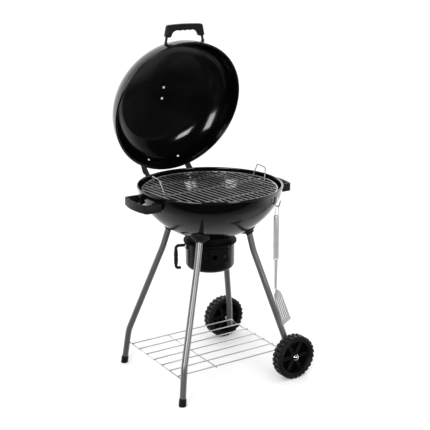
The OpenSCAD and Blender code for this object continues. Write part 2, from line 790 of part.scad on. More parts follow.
module bottom_shelf() color("silver") {
    top = shelf_z + 2 * shelf_wire - weld;
    x0 = shelf_x(-1);
    x1 = shelf_x(1);
    for (sx = [-1, 1])
        translate([shelf_x(sx), -shelf_end_y(sx), shelf_z]) rotate([-90, 0, 0])
            cylinder(h = 2 * shelf_end_y(sx), r = shelf_wire);
    for (i = [0:shelf_wires - 1])
        translate([x0 - shelf_over, (i - (shelf_wires - 1) / 2) * shelf_pitch, top]) rotate([0, 90, 0])
            cylinder(h = x1 - x0 + 2 * shelf_over, r = shelf_wire);
    half = (shelf_wires - 1) / 2 * shelf_pitch + shelf_over;
    translate([x0 + cross_from_left, -half, shelf_z]) rotate([-90, 0, 0])
        cylinder(h = 2 * half, r = shelf_wire);
}

// Frame at a wheel's axle, its Z pointing outwards from the middle plane
module at_axle(sy, y) { translate([axle_at[0], sy * y, wheel_r]) rotate([-90 * sy, 0, 0]) children(); }

module axle(sy) color("silver") {
    inner = axle_nut_y - axle_nut_h - axle_over;
    at_axle(sy, inner) cylinder(h = hub_out_y + seat - inner, r = axle_r);
    at_axle(sy, hub_out_y + seat) dome_head(axle_head_r, axle_head_h);
}

module axle_nuts() color("silver") for (sy = [-1, 1]) at_axle(sy, axle_nut_y - axle_nut_h) difference() {
    cylinder(h = axle_nut_h, r = axle_nut_r, $fn = hex);
    bore(2 * axle_nut_h, axle_r + axle_fit);
}

module axle_spacers() color("silver") for (sy = [-1, 1]) at_axle(sy, spacer_y) difference() {
    cylinder(h = hub_in_y - seat - spacer_y, r = spacer_r);
    bore(far / 10, axle_r + axle_fit);
}

// Wire grate: a ring, bars along Y and cross wires below them that end short of the ring by back
module wire_grate(r, span, pitch, bar, crosses, back = 0) {
    rotate_extrude() translate([r, 0]) circle(ring_wire);
    for (i = [-span:span])
        rotate([-90, 0, 0]) translate([i * pitch, 0, -sqrt(r ^ 2 - (i * pitch) ^ 2)])
            cylinder(h = 2 * sqrt(r ^ 2 - (i * pitch) ^ 2), r = bar);
    for (y = crosses)
        rotate([0, 90, 0]) translate([2 * bar - weld, y, -sqrt((r - back) ^ 2 - y ^ 2)])
            cylinder(h = 2 * sqrt((r - back) ^ 2 - y ^ 2), r = bar);
}

module charcoal_grate() color("#8c8c8c")
    translate([0, 0, coal_z]) rotate(90) wire_grate(coal_r, coal_span, coal_pitch, coal_wire,
        [-coal_r / 2, coal_r / 2], 3 * ring_wire);

// Four ledges under the cooking grate's ring, welded to the wall
module grate_supports() color("#202020") for (az = [support_az:90:support_az + 270]) intersection() {
    top = grate_z - ring_wire - seat;
    rotate(az) union() {
        translate([support_r, -ledge_w / 2, top - bowl_wall]) cube([far, ledge_w, bowl_wall]);
        translate([bowl_r_at(grate_z, -bowl_wall) - 2 * bowl_wall, -ledge_w / 2, top - ledge_w])
            cube([far, ledge_w, ledge_w]);
    }
    bowl_blank(-bowl_wall - bore_fit, far);
}

module ash_collar() color("#181818") rotate_extrude() difference() {
    union() {
        translate([neck_r - collar_t, neck_low_z]) square([collar_t, bowl_z_at(neck_r) - neck_low_z]);
        translate([neck_r - collar_t, collar_z]) square([collar_r - neck_r + collar_t, collar_t]);
        translate([collar_r - collar_t, collar_z - 2 * collar_t]) square([collar_t, 3 * collar_t]);
    }
    bowl_area(seat, far);
}

// Three spring tongues between the collar's neck and the pot
module ash_clips() color("silver") for (az = [0:120:240])
    rotate([0, 0, az]) rotate_extrude(angle = clip_span)
        translate([neck_r + seat, neck_low_z]) square([pot_r - pot_wall - neck_r - 2 * seat, clip_h]);

// Curved plate at the back, from a profile, as wide as 2 * half
module hinge_plate(half) {
    intersection() {
        rotate([0, 0, 60]) rotate_extrude(angle = 60) children();
        translate([-half, 0, 0]) cube([2 * half, far, 2 * far]);
    }
}

module bowl_hinge_bracket() color("#181818") {
    low = rim_z - bowl_plate_drop - bowl_plate_h;
    difference() {
        hinge_plate(bowl_ear_x - ear_t / 2) intersection() {
            difference() {
                bowl_area(plate_t + seat);
                bowl_area(seat, cut);
            }
            translate([0, low]) square([far, bowl_plate_h]);
        }
        at_bowl_hinge_bolts() bore(4 * plate_t);
    }
    for (sx = [-1, 1]) difference() {
        translate([sx * (bowl_ear_x - ear_t / 2), 0, 0]) rotate([90, 0, 90])
            linear_extrude(ear_t, center = true) {
                root = sqrt(bowl_r_at(low) ^ 2 - bowl_ear_x ^ 2);
                polygon([[root - ear_r, low], [root + 1.4 * ear_r, low],
                         [hinge_y + ear_r * 0.5, hinge_z - ear_r * 0.8], [hinge_y, hinge_z + ear_r * 0.9],
                         [hinge_y - 3 * ear_r, low + bowl_plate_h - cut]]);
                translate([hinge_y, hinge_z]) circle(ear_r);
            }
        bowl_blank(ear_root, far);
        translate([0, hinge_y, hinge_z]) rotate([0, 90, 0]) bore(2 * ear_x, pin_r + pin_fit);
    }
}

module bowl_hinge_bolts() color("silver")
    at_bowl_hinge_bolts() translate([0, 0, seat]) bolt(plate_t + bowl_wall + 3 * seat);

module hinge_pins() color("silver") for (sx = [-1, 1]) {
    inner = bowl_ear_x - ear_t - seat;
    outer = ear_x + seat;
    translate([sx * inner, hinge_y, hinge_z]) rotate([0, 90 * sx, 0]) {
        cylinder(h = outer - inner, r = pin_r);
        translate([0, 0, outer - inner]) dome_head(pin_r + 3, 2.5);
        mirror([0, 0, 1]) dome_head(pin_r + 3, 2.5);
    }
}

// Hook wire in the upright plane through the bowl's axis: points are [distance out, height]
hook_corner_z = hook_low_z - hook_bend * (sqrt(2) - 1);
hook_wall_zs = [hook_bolt_z + strap_h / 2 + 4, hook_bolt_z];
hook_points = concat([for (z = hook_wall_zs) [bowl_r_at(z, hook_wire + 5 * seat), z]],
    [[hang_r - hook_arm, hook_corner_z + hook_arm], [hang_r, hook_corner_z],
     [hang_r + hook_arm, hook_corner_z + hook_arm], [hang_r + hook_arm + 4, hook_corner_z + 3.1 * hook_arm]]);

module tool_hook() color("silver") {
    bent_rod([for (q = hook_points) q[0] * hook_dir + [0, 0, q[1]]], [40, 6, hook_bend, 6], hook_wire);
    difference() {
        rotate([0, 0, hook_az - 1]) rotate_extrude(angle = 5.5) intersection() {
            difference() {
                bowl_area(strap_t + seat);
                bowl_area(seat, cut);
            }
            translate([0, hook_bolt_z - strap_h / 2]) square([far, strap_h]);
        }
        on_bowl(hook_bolt_az, hook_bolt_z, 0) bore(4 * plate_t);
    }
}

module tool_hook_bolt() color("silver")
    on_bowl(hook_bolt_az, hook_bolt_z, strap_t + 2 * seat) bolt(strap_t + bowl_wall + 3 * seat);

// ======== lid ========

module at_lid_hinge_bolts() {
    for (sx = [-1, 1]) {
        r = lid_r_at(lid_bolt_h, -lid_wall - seat);
        az = 90 + sx * asin(hinge_bolt_x / r);
        rise = asin((lid_bolt_h - lid_skirt) / lid_shoulder);
        along([r * cos(az), r * sin(az), lid_z + lid_bolt_h], -dir(az, rise)) children();
    }
}

// Line of a handle stem, from inside the lid's wall outwards
stem_y = sqrt(lid_r_at(stem_root_h) ^ 2 - stem_x ^ 2);
stem_run = (grip_y - stem_y) / cos(stem_rise);
grip_x = stem_x - stem_run * tan(stem_lean);
function stem_dir(sx) = unit([-sx * tan(stem_lean), -cos(stem_rise), sin(stem_rise)]);
function stem_at(sx, run) = [sx * stem_x, -stem_y, lid_z + stem_root_h] + stem_dir(sx) * run / cos(stem_lean);
module at_stem(sx) { along(stem_at(sx, 0), stem_dir(sx)) children(); }

// Place on the lid's crown, turned from its top towards the front by an angle
module on_crown(turn) { translate([0, 0, lid_crown_z]) rotate([turn, 0, 0]) children(); }
vent_tilt = asin(vent_y / lid_crown);
vent_step = 180 / vent_holes;

module vent_hole_set(first) {
    for (i = [0:vent_holes - 1]) rotate(first + i * 360 / vent_holes) translate([vent_pitch_r, 0, lid_crown])
        bore(far / 10, vent_hole_r);
}

// Arc slot for the knob's bolt, a turn of vent_turn from the shut place
module knob_slot() {
    slot_r = bolt_r + seat;
    for (a = [0, vent_turn])
        rotate(90 + a) translate([knob_reach, 0, lid_crown]) bore(far / 10, slot_r + bore_fit);
    translate([0, 0, lid_crown - far / 10]) rotate([0, 0, 90]) rotate_extrude(angle = vent_turn)
        translate([knob_reach - slot_r, 0]) square([2 * slot_r, far / 5]);
}

module lid_shell() color("#141414") lid_placed() difference() {
    rotate_extrude() {
        difference() {
            lid_area();
            lid_area(-lid_wall, cut);
        }
        translate([lid_bead_c, lid_z]) circle(lid_bead_r);
        translate([lid_r - lid_wall, lid_z + rib_h]) circle(rib_r);
    }
    at_lid_hinge_bolts() bore(4 * plate_t);
    for (sx = [-1, 1]) at_stem(sx) bore(far / 20, stem_r + bore_fit);
    on_crown(vent_tilt) {
        vent_hole_set(0);
        knob_slot();
        translate([0, 0, lid_crown]) bore(far / 10);
    }
}

module lid_hinge_bracket() color("#181818") lid_placed() {
    low = lid_z + lid_plate_low;
    difference() {
        hinge_plate(ear_x - ear_t / 2) intersection() {
            difference() {
                lid_area(plate_t + seat);
                lid_area(seat, cut);
            }
            translate([0, low]) square([far, lid_plate_h]);
        }
        at_lid_hinge_bolts() bore(4 * plate_t);
    }
    for (sx = [-1, 1]) difference() {
        translate([sx * (ear_x - ear_t / 2), 0, 0]) rotate([90, 0, 90]) linear_extrude(ear_t, center = true) {
            root = sqrt(lid_r_at(lid_plate_low) ^ 2 - ear_x ^ 2);
            rim_y = sqrt(rim_r ^ 2 - ear_x ^ 2);
            top = low + lid_plate_h - cut;
            polygon([[hinge_y - ear_r * 0.9, hinge_z], [hinge_y + ear_r * 0.9, hinge_z],
                     [hinge_y + ear_r, low - ear_r * 0.6], [root + ear_r, top], [root - 2.2 * ear_r, top],
                     [root - ear_r * 0.8, low + cut], [rim_y + sink, lid_z + lid_bead_r + 3 * cut]]);
            translate([hinge_y, hinge_z]) circle(ear_r);
        }
        rotate_extrude($fn = 4 * $fn) lid_area(ear_root);
        translate([0, hinge_y, hinge_z]) rotate([0, 90, 0]) bore(2 * ear_x, pin_r + pin_fit);
    }
}

module lid_hinge_bolts() color("silver") lid_placed()
    at_lid_hinge_bolts() bolt(lid_wall + plate_t + 3 * seat);

module lid_handle_stems() color("#2c2c2c") lid_placed() for (sx = [-1, 1]) at_stem(sx) {
    translate([0, 0, -12]) cylinder(h = stem_run + 12 - grip_r / 2, r = stem_r);
    translate([0, 0, 5.5]) cylinder(h = 2.5, r = stem_r + 3);
    translate([0, 0, -12]) cylinder(h = 4.5, r = stem_r + 3, $fn = hex);
}

// Finger guard in the corner between the grip and a sleeve
module guard_area(sx) {
    inner = grip_x - grip_r;
    foot = -sleeve_len - grip_bend + 1;
    polygon([for (q = [[grip_x, 2], [inner - guard_w, 4 - grip_r], [inner - 4, foot + 9], [inner - 3, foot],
        [grip_x, foot]]) [sx * q[0], q[1]]]);
}

// Plastic grip: a round bar with two sleeves that point back along the stems
module lid_handle_grip() color("#1c1c1c") lid_placed() {
    ends = [for (sx = [-1, 1]) stem_at(sx, stem_run)];
    feet = [for (sx = [-1, 1]) stem_at(sx, stem_run - sleeve_len - grip_bend)];
    pitch = (2 * grip_x - 2 * grip_bend) / scallops;
    difference() {
        union() {
            bent_rod([feet[0], ends[0], ends[1], feet[1]], [grip_bend, grip_bend], grip_r);
            translate([0, -grip_y, ends[0][2]]) rotate([180 - stem_rise, 0, 0])
                for (sx = [-1, 1]) linear_extrude(guard_t, center = true) guard_area(sx);
        }
        for (sx = [-1, 1]) at_stem(sx) translate([0, 0, -far / 20])
            cylinder(h = stem_run + far / 20 - grip_r / 2 + seat, r = stem_r + bore_fit);
        for (i = [0:scallops - 1])
            along([(i - (scallops - 1) / 2) * pitch, -grip_y, ends[0][2]]
                - dir(-90, stem_rise) * (grip_r + pitch - scallop_depth), dir(-90, stem_rise + 90))
                bore(far / 10, pitch);
    }
}

module vent_bolt() color("silver") lid_placed() on_crown(vent_tilt)
    translate([0, 0, lid_crown - lid_wall - seat]) mirror([0, 0, 1]) bolt(lid_wall + vent_t + 3 * seat);

module vent_disc() color("#181818") lid_placed() on_crown(vent_tilt) difference() {
    rotate_extrude() intersection() {
        difference() {
            circle(lid_crown + seat + vent_t, $fn = 4 * $fn);
            circle(lid_crown + seat, $fn = 4 * $fn);
        }
        square([vent_r, far * 2]);
    }
    vent_hole_set(vent_step);
    rotate(90) translate([knob_reach, 0, lid_crown]) bore(far / 10);
    translate([0, 0, lid_crown]) bore(far / 10);
}

// Knob on the vent disc, behind the lid's middle
module at_vent_knob() {
    lid_placed() on_crown(vent_tilt - asin(knob_reach / lid_crown)) translate([0, 0, lid_crown]) children();
}

module vent_knob() color("#1c1c1c") at_vent_knob() difference() {
    translate([0, 0, vent_t + 3 * seat]) union() {
        cylinder(h = knob_h - 4, r = knob_r);
        translate([0, 0, knob_h - 4]) dome_head(knob_r, 4);
    }
    cylinder(h = knob_h - 4, r = bolt_r + bore_fit);
}

module vent_knob_bolt() color("silver") at_vent_knob() mirror([0, 0, 1]) {
    translate([0, 0, lid_wall + seat]) dome_head(head_r, head_h);
    translate([0, 0, seat - knob_h / 2]) cylinder(h = knob_h / 2 + lid_wall, r = bolt_r);
}

// ======== wheels ========

module lug_row(first) {
    intersection() {
        circle(wheel_r);
        for (i = [0:lug_count - 1]) rotate(first + i * 360 / lug_count)
            translate([tyre_r - cut, -lug_w / 2]) square([lug_h + 2 * cut, lug_w]);
    }
}

module wheel(sy) color("#151515") at_axle(sy, wheel_in_y) difference() {
    union() {
        rotate_extrude() polygon([[wheel_ring_r, edge_in], [wheel_ring_r + edge_in, 0],
            [tyre_r - edge_out, 0], [tyre_r, edge_out], [tyre_r, wheel_w - edge_out],
            [tyre_r - edge_out, wheel_w], [wheel_ring_r + edge_in, wheel_w],
            [wheel_ring_r, wheel_w - edge_in]]);
        for (row = [0, 1]) translate([0, 0, edge_out + row * (wheel_w / 2 - edge_out)])
            linear_extrude(wheel_w / 2 - edge_out) lug_row(row * 180 / lug_count);
        for (i = [0:spoke_count - 1]) rotate([0, 0, i * 360 / spoke_count])
            translate([hub_r - sink, -spoke_w / 2, (wheel_w - spoke_t) / 2])
                cube([wheel_ring_r - hub_r + 2 * sink, spoke_w, spoke_t]);
        translate([0, 0, (wheel_w - web_t) / 2]) cylinder(h = web_t, r = wheel_ring_r + sink);
        translate([0, 0, hub_in_y - wheel_in_y]) cylinder(h = hub_out_y - hub_in_y, r = hub_r);
    }
    bore(2 * wheel_w, axle_r + axle_fit);
}

module hub_cap(sy) color("silver") at_axle(sy, hub_out_y + seat) difference() {
    rotate_extrude() intersection() {
        square([hub_cap_r, far]);
        translate([0, -4]) circle(hub_cap_r + 1.5);
    }
    translate([0, 0, -cut]) cylinder(h = axle_head_h + seat + cut, r = axle_head_r + seat);
}

// ======== cooking grate ========

loop_z = grate_z + bar_wire + loop_wire + seat;

module cooking_grate() color("#9a9a9a")
    translate([0, 0, grate_z]) rotate(grate_turn) wire_grate(grate_r, bar_span, bar_pitch, bar_wire,
        [-grate_r * 0.6, 0, grate_r * 0.6]);

// Upright wire handle on the grate, leaning outwards
module grate_handle(turn) color("silver") rotate([0, 0, turn]) {
    half = loop_w / 2;
    top = loop_top_w / 2;
    lean = loop_r + loop_lean;
    foot_in = loop_r - 24;
    bent_rod([[foot_in, -half, loop_z], [loop_r, -half, loop_z], [lean, -top, loop_z + loop_h],
              [lean, top, loop_z + loop_h], [loop_r, half, loop_z], [foot_in, half, loop_z]],
             [6, 10, 10, 6], loop_wire);
}

// ======== ash pot ========

module pot_area(g) {
    r = pot_r + g;
    corner = pot_corner + g;
    low = pot_low_z - g;
    translate([0, low]) square([r - corner, pot_top_z - low]);
    translate([r - corner, low + corner]) square([corner, pot_top_z - low - corner]);
    translate([r - corner, low + corner]) intersection() {
        circle(corner);
        translate([0, -corner]) square([corner, corner]);
    }
}

// Radial frame on the pot's wall
module on_pot(az, z, out) { along((pot_r + out) * dir(az) + [0, 0, z], dir(az)) children(); }

pot_lip = 3;               // reach of the pot's lip
pot_lip_t = 2;             // thickness of the pot's lip
pot_pad_t = 3;             // thickness of the handle's pad
pot_pad_span = 24;         // width of the handle's pad, as an angle
pot_bolt_turn = 7;         // angle from the handle to each of its bolts
pot_bolt_z = pot_bar_top;

module at_pot_bolts() {
    for (s = [-1, 1]) on_pot(pot_handle_az + s * pot_bolt_turn, pot_bolt_z, pot_pad_t + seat) children();
}

module ash_pot() color("#151515") difference() {
    rotate_extrude() {
        difference() {
            pot_area(0);
            translate([0, cut]) pot_area(-pot_wall);
            pot_area(-pot_wall);
            translate([-cut, pot_top_z - cut]) square([pot_r - pot_wall + cut, 2 * cut]);
        }
        translate([pot_r - pot_wall, pot_top_z - pot_lip_t]) square([pot_wall + pot_lip, pot_lip_t]);
    }
    on_pot(air_az, air_z, 0) bore(far / 20, air_r);
    at_pot_bolts() bore(far / 20);
    at_rail_rivets() bore(far / 20, rivet_r + bore_fit);
}

module pot_handle() color("#161616") {
    out = dir(pot_handle_az);
    difference() {
        union() {
            bent_rod([for (q = [[pot_r + pot_pad_t / 2, pot_bar_top], [pot_bar_out, pot_bar_top - 4],
                [pot_bar_out, pot_bar_low], [pot_bar_out - 20, pot_bar_low - 1]]) q[0] * out + [0, 0, q[1]]],
                [12, 9], pot_bar_r);
            translate(pot_bar_out * out + [0, 0, (pot_bar_top + pot_bar_low - pot_grip_len) / 2 - 2])
                cylinder(h = pot_grip_len, r = pot_grip_r);
            rotate([0, 0, pot_handle_az - pot_pad_span / 2]) rotate_extrude(angle = pot_pad_span)
                translate([plate_r, pot_bar_top - 2 * pot_bar_r]) square([pot_pad_t, 22]);
        }
        cylinder(h = far * 2, r = plate_r);
        at_pot_bolts() bore(far / 30);
    }
}

module pot_handle_bolts() color("silver")
    at_pot_bolts() translate([0, 0, seat]) bolt(pot_pad_t + pot_wall + 3 * seat);

damper_r = plate_r + damper_t;
rail_t = 1.5;              // thickness of the rails' lips
rivet_r = 1.8;             // radius of the rails' rivets
rivet_head_r = 3.3;        // radius of their heads
rail_from = -damper_lead - damper_turn - 1;
rail_to = damper_span + 1;
rail_root = 5;             // height of the part of a rail that lies on the pot
rivet_azs = [rail_from + 5, rail_to - 5];

module at_rail_rivets() {
    for (s = [-1, 1], a = rivet_azs)
        on_pot(air_az + a, damper_z + s * (damper_h / 2 + seat + rail_root / 2), damper_t + rail_t + 2 * seat)
            children();
}

module damper_rails() color("#1a1a1a") {
    for (s = [-1, 1]) difference() {
        translate([0, 0, damper_z]) rotate([0, 0, air_az + rail_from])
            rotate_extrude(angle = rail_to - rail_from) mirror([0, s < 0 ? 1 : 0]) {
                translate([plate_r, damper_h / 2 + seat]) square([damper_t + seat + rail_t, rail_root]);
                translate([damper_r + seat, damper_h / 2 + seat - rail_lip]) square([rail_t, rail_lip + cut]);
            }
        at_rail_rivets() bore(far / 20, rivet_r + bore_fit);
    }
    grip = damper_t + rail_t + pot_wall + 5 * seat;
    at_rail_rivets() {
        dome_head(rivet_head_r, rail_t);
        translate([0, 0, -grip]) cylinder(h = grip, r = rivet_r);
        translate([0, 0, -grip]) mirror([0, 0, 1]) dome_head(rivet_head_r, rail_t);
    }
}

damper_knob_az = air_az + damper_span * 0.62;

module ash_damper() color("#1a1a1a") difference() {
    rotate([0, 0, air_az - damper_lead]) rotate_extrude(angle = damper_lead + damper_span)
        translate([plate_r, damper_z - damper_h / 2]) square([damper_t, damper_h]);
    on_pot(air_az, air_z, 0) bore(far / 20, air_r);
    on_pot(damper_knob_az, damper_z, 0) bore(far / 20);
}

// Knob with a pin pressed through the damper plate
module damper_knob() color("#202020") on_pot(damper_knob_az, damper_z, seat + damper_t + seat) {
    cylinder(h = 7, r = 6);
    translate([0, 0, 7]) dome_head(6, 2);
    translate([0, 0, -damper_t - seat]) cylinder(h = damper_t + seat + cut, r = bolt_r);
}

// ======== spatula ========

// Frame of the hanging spatula: Z up, X outwards from the bowl, Y along the blade's width
module at_spatula() { translate(hang) rotate([0, 0, hook_az]) children(); }

module stadium(len, w) {
    translate([-w / 2, 0]) square([w, len]);
    circle(w / 2);
    translate([0, len]) circle(w / 2);
}

// Flat blade, drawn in Y (width) and Z (down is minus), with slots
module blade_plan() {
    slot_pitch = (blade_top_w - slot_w) / slot_count;
    difference() {
        polygon([[-shaft_low_r, 0], [shaft_low_r, 0], [blade_top_w / 2 - 4, -blade_neck],
                 [blade_top_w / 2, -blade_neck - 8], [blade_w / 2, -blade_len], [-blade_w / 2, -blade_len],
                 [-blade_top_w / 2, -blade_neck - 8], [-blade_top_w / 2 + 4, -blade_neck]]);
        for (i = [0:slot_count - 1])
            translate([(i - (slot_count - 1) / 2) * slot_pitch, slot_margin - blade_len])
                stadium(blade_len - blade_neck - slot_margin - slot_top, slot_w);
    }
}

module spatula_blade() color("silver") at_spatula() {
    plug_r = spat_grip_r - spat_grip_wall - bore_fit;
    translate([0, 0, shaft_low_z]) cylinder(h = shaft_len + 1, r1 = shaft_low_r, r2 = shaft_r);
    translate([0, 0, spat_low_z + 0.5]) cylinder(h = 8, r = plug_r);
    translate([0, 0, shaft_low_z]) sphere(shaft_low_r * joint_ball);
    translate([0, 0, shaft_low_z]) rotate([0, -blade_tilt, 0]) rotate([90, 0, 90])
        linear_extrude(sheet_t, center = true) blade_plan();
}

module spatula_handle() color("silver") at_spatula() difference() {
    union() {
        translate([0, 0, spat_low_z]) cylinder(h = spat_grip_len - 4, r = spat_grip_r);
        translate([0, 0, spat_top_z - 4]) dome_head(spat_grip_r, 4);
    }
    translate([0, 0, spat_low_z - cut]) cylinder(h = spat_grip_len - 10, r = spat_grip_r - spat_grip_wall);
    for (s = [-1, 1]) rotate([0, 0, eye_az - hook_az]) translate([s * eye_w, 0, spat_top_z - 9])
        cylinder(h = 20, r = eye_wire + bore_fit);
}

module spatula_loop() color("silver") at_spatula() rotate([0, 0, eye_az - hook_az]) {
    low = spat_top_z - 7;
    bent_rod([[-eye_w, 0, low], [-eye_w, 0, eye_top_z], [eye_w, 0, eye_top_z], [eye_w, 0, low]],
        [eye_w - 0.5, eye_w - 0.5], eye_wire);
}

// ======== nodes ========

in_frame() bowl_shell();
in_frame() side_handle(180);  // side_handle_left
in_frame() side_handle(0);  // side_handle_right
in_frame() side_handle_bolts();
in_frame() leg_socket(foot_leg, -1, 1);  // leg_socket_rear_left
in_frame() leg_socket(foot_leg, -1, -1);  // leg_socket_front_left
in_frame() leg_socket(wheel_leg, 1, 1);  // leg_socket_rear_right
in_frame() leg_socket(wheel_leg, 1, -1);  // leg_socket_front_right
in_frame() foot_leg_tube(1);  // leg_rear_left
in_frame() foot_leg_tube(-1);  // leg_front_left
in_frame() wheel_leg_tube(1);  // leg_rear_right
in_frame() wheel_leg_tube(-1);  // leg_front_right
in_frame() leg_bolts();
in_frame() foot_cap(1);  // foot_cap_rear
in_frame() foot_cap(-1);  // foot_cap_front
in_frame() leg_plugs();
in_frame() bottom_shelf();
in_frame() axle(-1);  // axle_front
in_frame() axle(1);  // axle_rear
in_frame() axle_nuts();
in_frame() axle_spacers();
in_frame() charcoal_grate();
in_frame() grate_supports();
in_frame() ash_collar();
in_frame() ash_clips();
in_frame() bowl_hinge_bracket();
in_frame() bowl_hinge_bolts();
in_frame() hinge_pins();
in_frame() tool_hook();
in_frame() tool_hook_bolt();
in_frame() lid_shell();
in_frame() lid_hinge_bracket();
in_frame() lid_hinge_bolts();
in_frame() lid_handle_stems();
in_frame() lid_handle_grip();
in_frame() vent_bolt();
in_frame() vent_disc();
in_frame() vent_knob();
in_frame() vent_knob_bolt();
in_frame() wheel(-1);  // wheel_front
in_frame() wheel(1);  // wheel_rear
in_frame() hub_cap(-1);  // hub_cap_front
in_frame() hub_cap(1);  // hub_cap_rear
in_frame() cooking_grate();
in_frame() grate_handle(loop_az + 180);  // grate_handle_left
in_frame() grate_handle(loop_az);  // grate_handle_right
in_frame() ash_pot();
in_frame() pot_handle();
in_frame() pot_handle_bolts();
in_frame() damper_rails();
in_frame() ash_damper();
in_frame() damper_knob();
in_frame() spatula_blade();
in_frame() spatula_handle();
in_frame() spatula_loop();
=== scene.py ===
"""Kettle charcoal grill: how each piece is made and finished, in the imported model's own frame."""

from __future__ import annotations

import logging
import math
from dataclasses import dataclass
from enum import Enum
from typing import Callable, Iterable, Mapping, Sequence

import bmesh
import bpy
from mathutils import Matrix, Vector


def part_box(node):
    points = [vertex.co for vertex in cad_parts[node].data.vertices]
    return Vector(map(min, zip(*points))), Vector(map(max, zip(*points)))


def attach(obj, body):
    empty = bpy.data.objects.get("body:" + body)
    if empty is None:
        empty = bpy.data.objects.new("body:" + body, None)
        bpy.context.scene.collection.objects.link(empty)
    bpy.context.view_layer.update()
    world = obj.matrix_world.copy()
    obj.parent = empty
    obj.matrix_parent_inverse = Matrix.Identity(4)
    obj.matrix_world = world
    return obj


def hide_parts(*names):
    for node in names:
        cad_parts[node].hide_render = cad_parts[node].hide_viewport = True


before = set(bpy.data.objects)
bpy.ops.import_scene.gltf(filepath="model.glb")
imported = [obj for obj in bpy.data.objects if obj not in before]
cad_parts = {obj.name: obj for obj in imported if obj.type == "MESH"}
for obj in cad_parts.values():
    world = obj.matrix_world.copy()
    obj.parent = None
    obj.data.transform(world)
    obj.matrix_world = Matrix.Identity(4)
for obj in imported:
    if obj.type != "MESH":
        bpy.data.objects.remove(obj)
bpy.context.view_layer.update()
LOG = logging.getLogger("kettle_grill")

MM = 0.001
TURN = 2 * math.pi
# The bowl's axis in the row's frame, in millimetres.
AXIS_Y = sum(corner.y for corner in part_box("bowl_shell")) / 2 / MM

Point = Sequence[float]
Profile = list[tuple[float, float]]


# ---------------------------------------------------------------- material tools


class Wire:
    """An output that takes part in arithmetic, each step adding a Math node."""

    def __init__(self, nodes: Nodes, socket: bpy.types.NodeSocket | None) -> None:
        """Keep the socket and the nodes that it belongs to."""
        self.nodes = nodes
        self.socket = socket

    def _math(self, operation: str, *terms: Wire | float) -> Wire:
        """Add one Math node over the terms, in their order.

        Args:
            operation: The Math node's operation.
            terms: Its inputs, wires or numbers.

        Returns:
            The node's result.
        """
        return self.nodes.add("ShaderNodeMath", {"operation": operation}, dict(enumerate(terms)))

    def __add__(self, other: Wire | float) -> Wire:
        """This plus the other."""
        return self._math("ADD", self, other)

    def __radd__(self, other: float) -> Wire:
        """The other plus this."""
        return self._math("ADD", other, self)

    def __sub__(self, other: Wire | float) -> Wire:
        """This minus the other."""
        return self._math("SUBTRACT", self, other)

    def __rsub__(self, other: float) -> Wire:
        """The other minus this."""
        return self._math("SUBTRACT", other, self)

    def __mul__(self, other: Wire | float) -> Wire:
        """This times the other."""
        return self._math("MULTIPLY", self, other)

    def __rmul__(self, other: float) -> Wire:
        """The other times this."""
        return self._math("MULTIPLY", other, self)

    def between(self, low: float, high: float, first: float = 0.0, last: float = 1.0) -> Wire:
        """Stretch the part from low to high smoothly onto first to last.

        Args:
            low: Value that becomes first.
            high: Value that becomes last.
            first: Result at low and before it.
            last: Result at high and past it.

        Returns:
            The stretched and clamped value.
        """
        reach = {"From Min": low, "From Max": high, "To Min": first, "To Max": last}
        settings = {"interpolation_type": "SMOOTHSTEP"}
        return self.nodes.add("ShaderNodeMapRange", settings, {"Value": self, **reach})


class Nodes:
    """The nodes of a material or a sky."""

    def __init__(self, owner: bpy.types.Material | bpy.types.World) -> None:
        """Turn on the owner's nodes, and start with none."""
        owner.use_nodes = True
        self.tree = owner.node_tree
        self.tree.nodes.clear()

    def add(
        self,
        kind: str,
        settings: Mapping[str, object] | None = None,
        sockets: Mapping[str | int, object] | None = None,
        out: str | int = 0,
    ) -> Wire:
        """Add a node: its settings first, then its sockets.

        Args:
            kind: The node's type.
            settings: Its properties by name.
            sockets: Its inputs, by name or number, as wires or values.
            out: The output that is wanted.

        Returns:
            That output.
        """
        node = self.tree.nodes.new(kind)
        for key, value in (settings or {}).items():
            setattr(node, key, value)
        for key, value in (sockets or {}).items():
            if isinstance(value, Wire):
                self.tree.links.new(value.socket, node.inputs[key])
            else:
                node.inputs[key].default_value = value
        return Wire(self, node.outputs[out] if node.outputs else None)


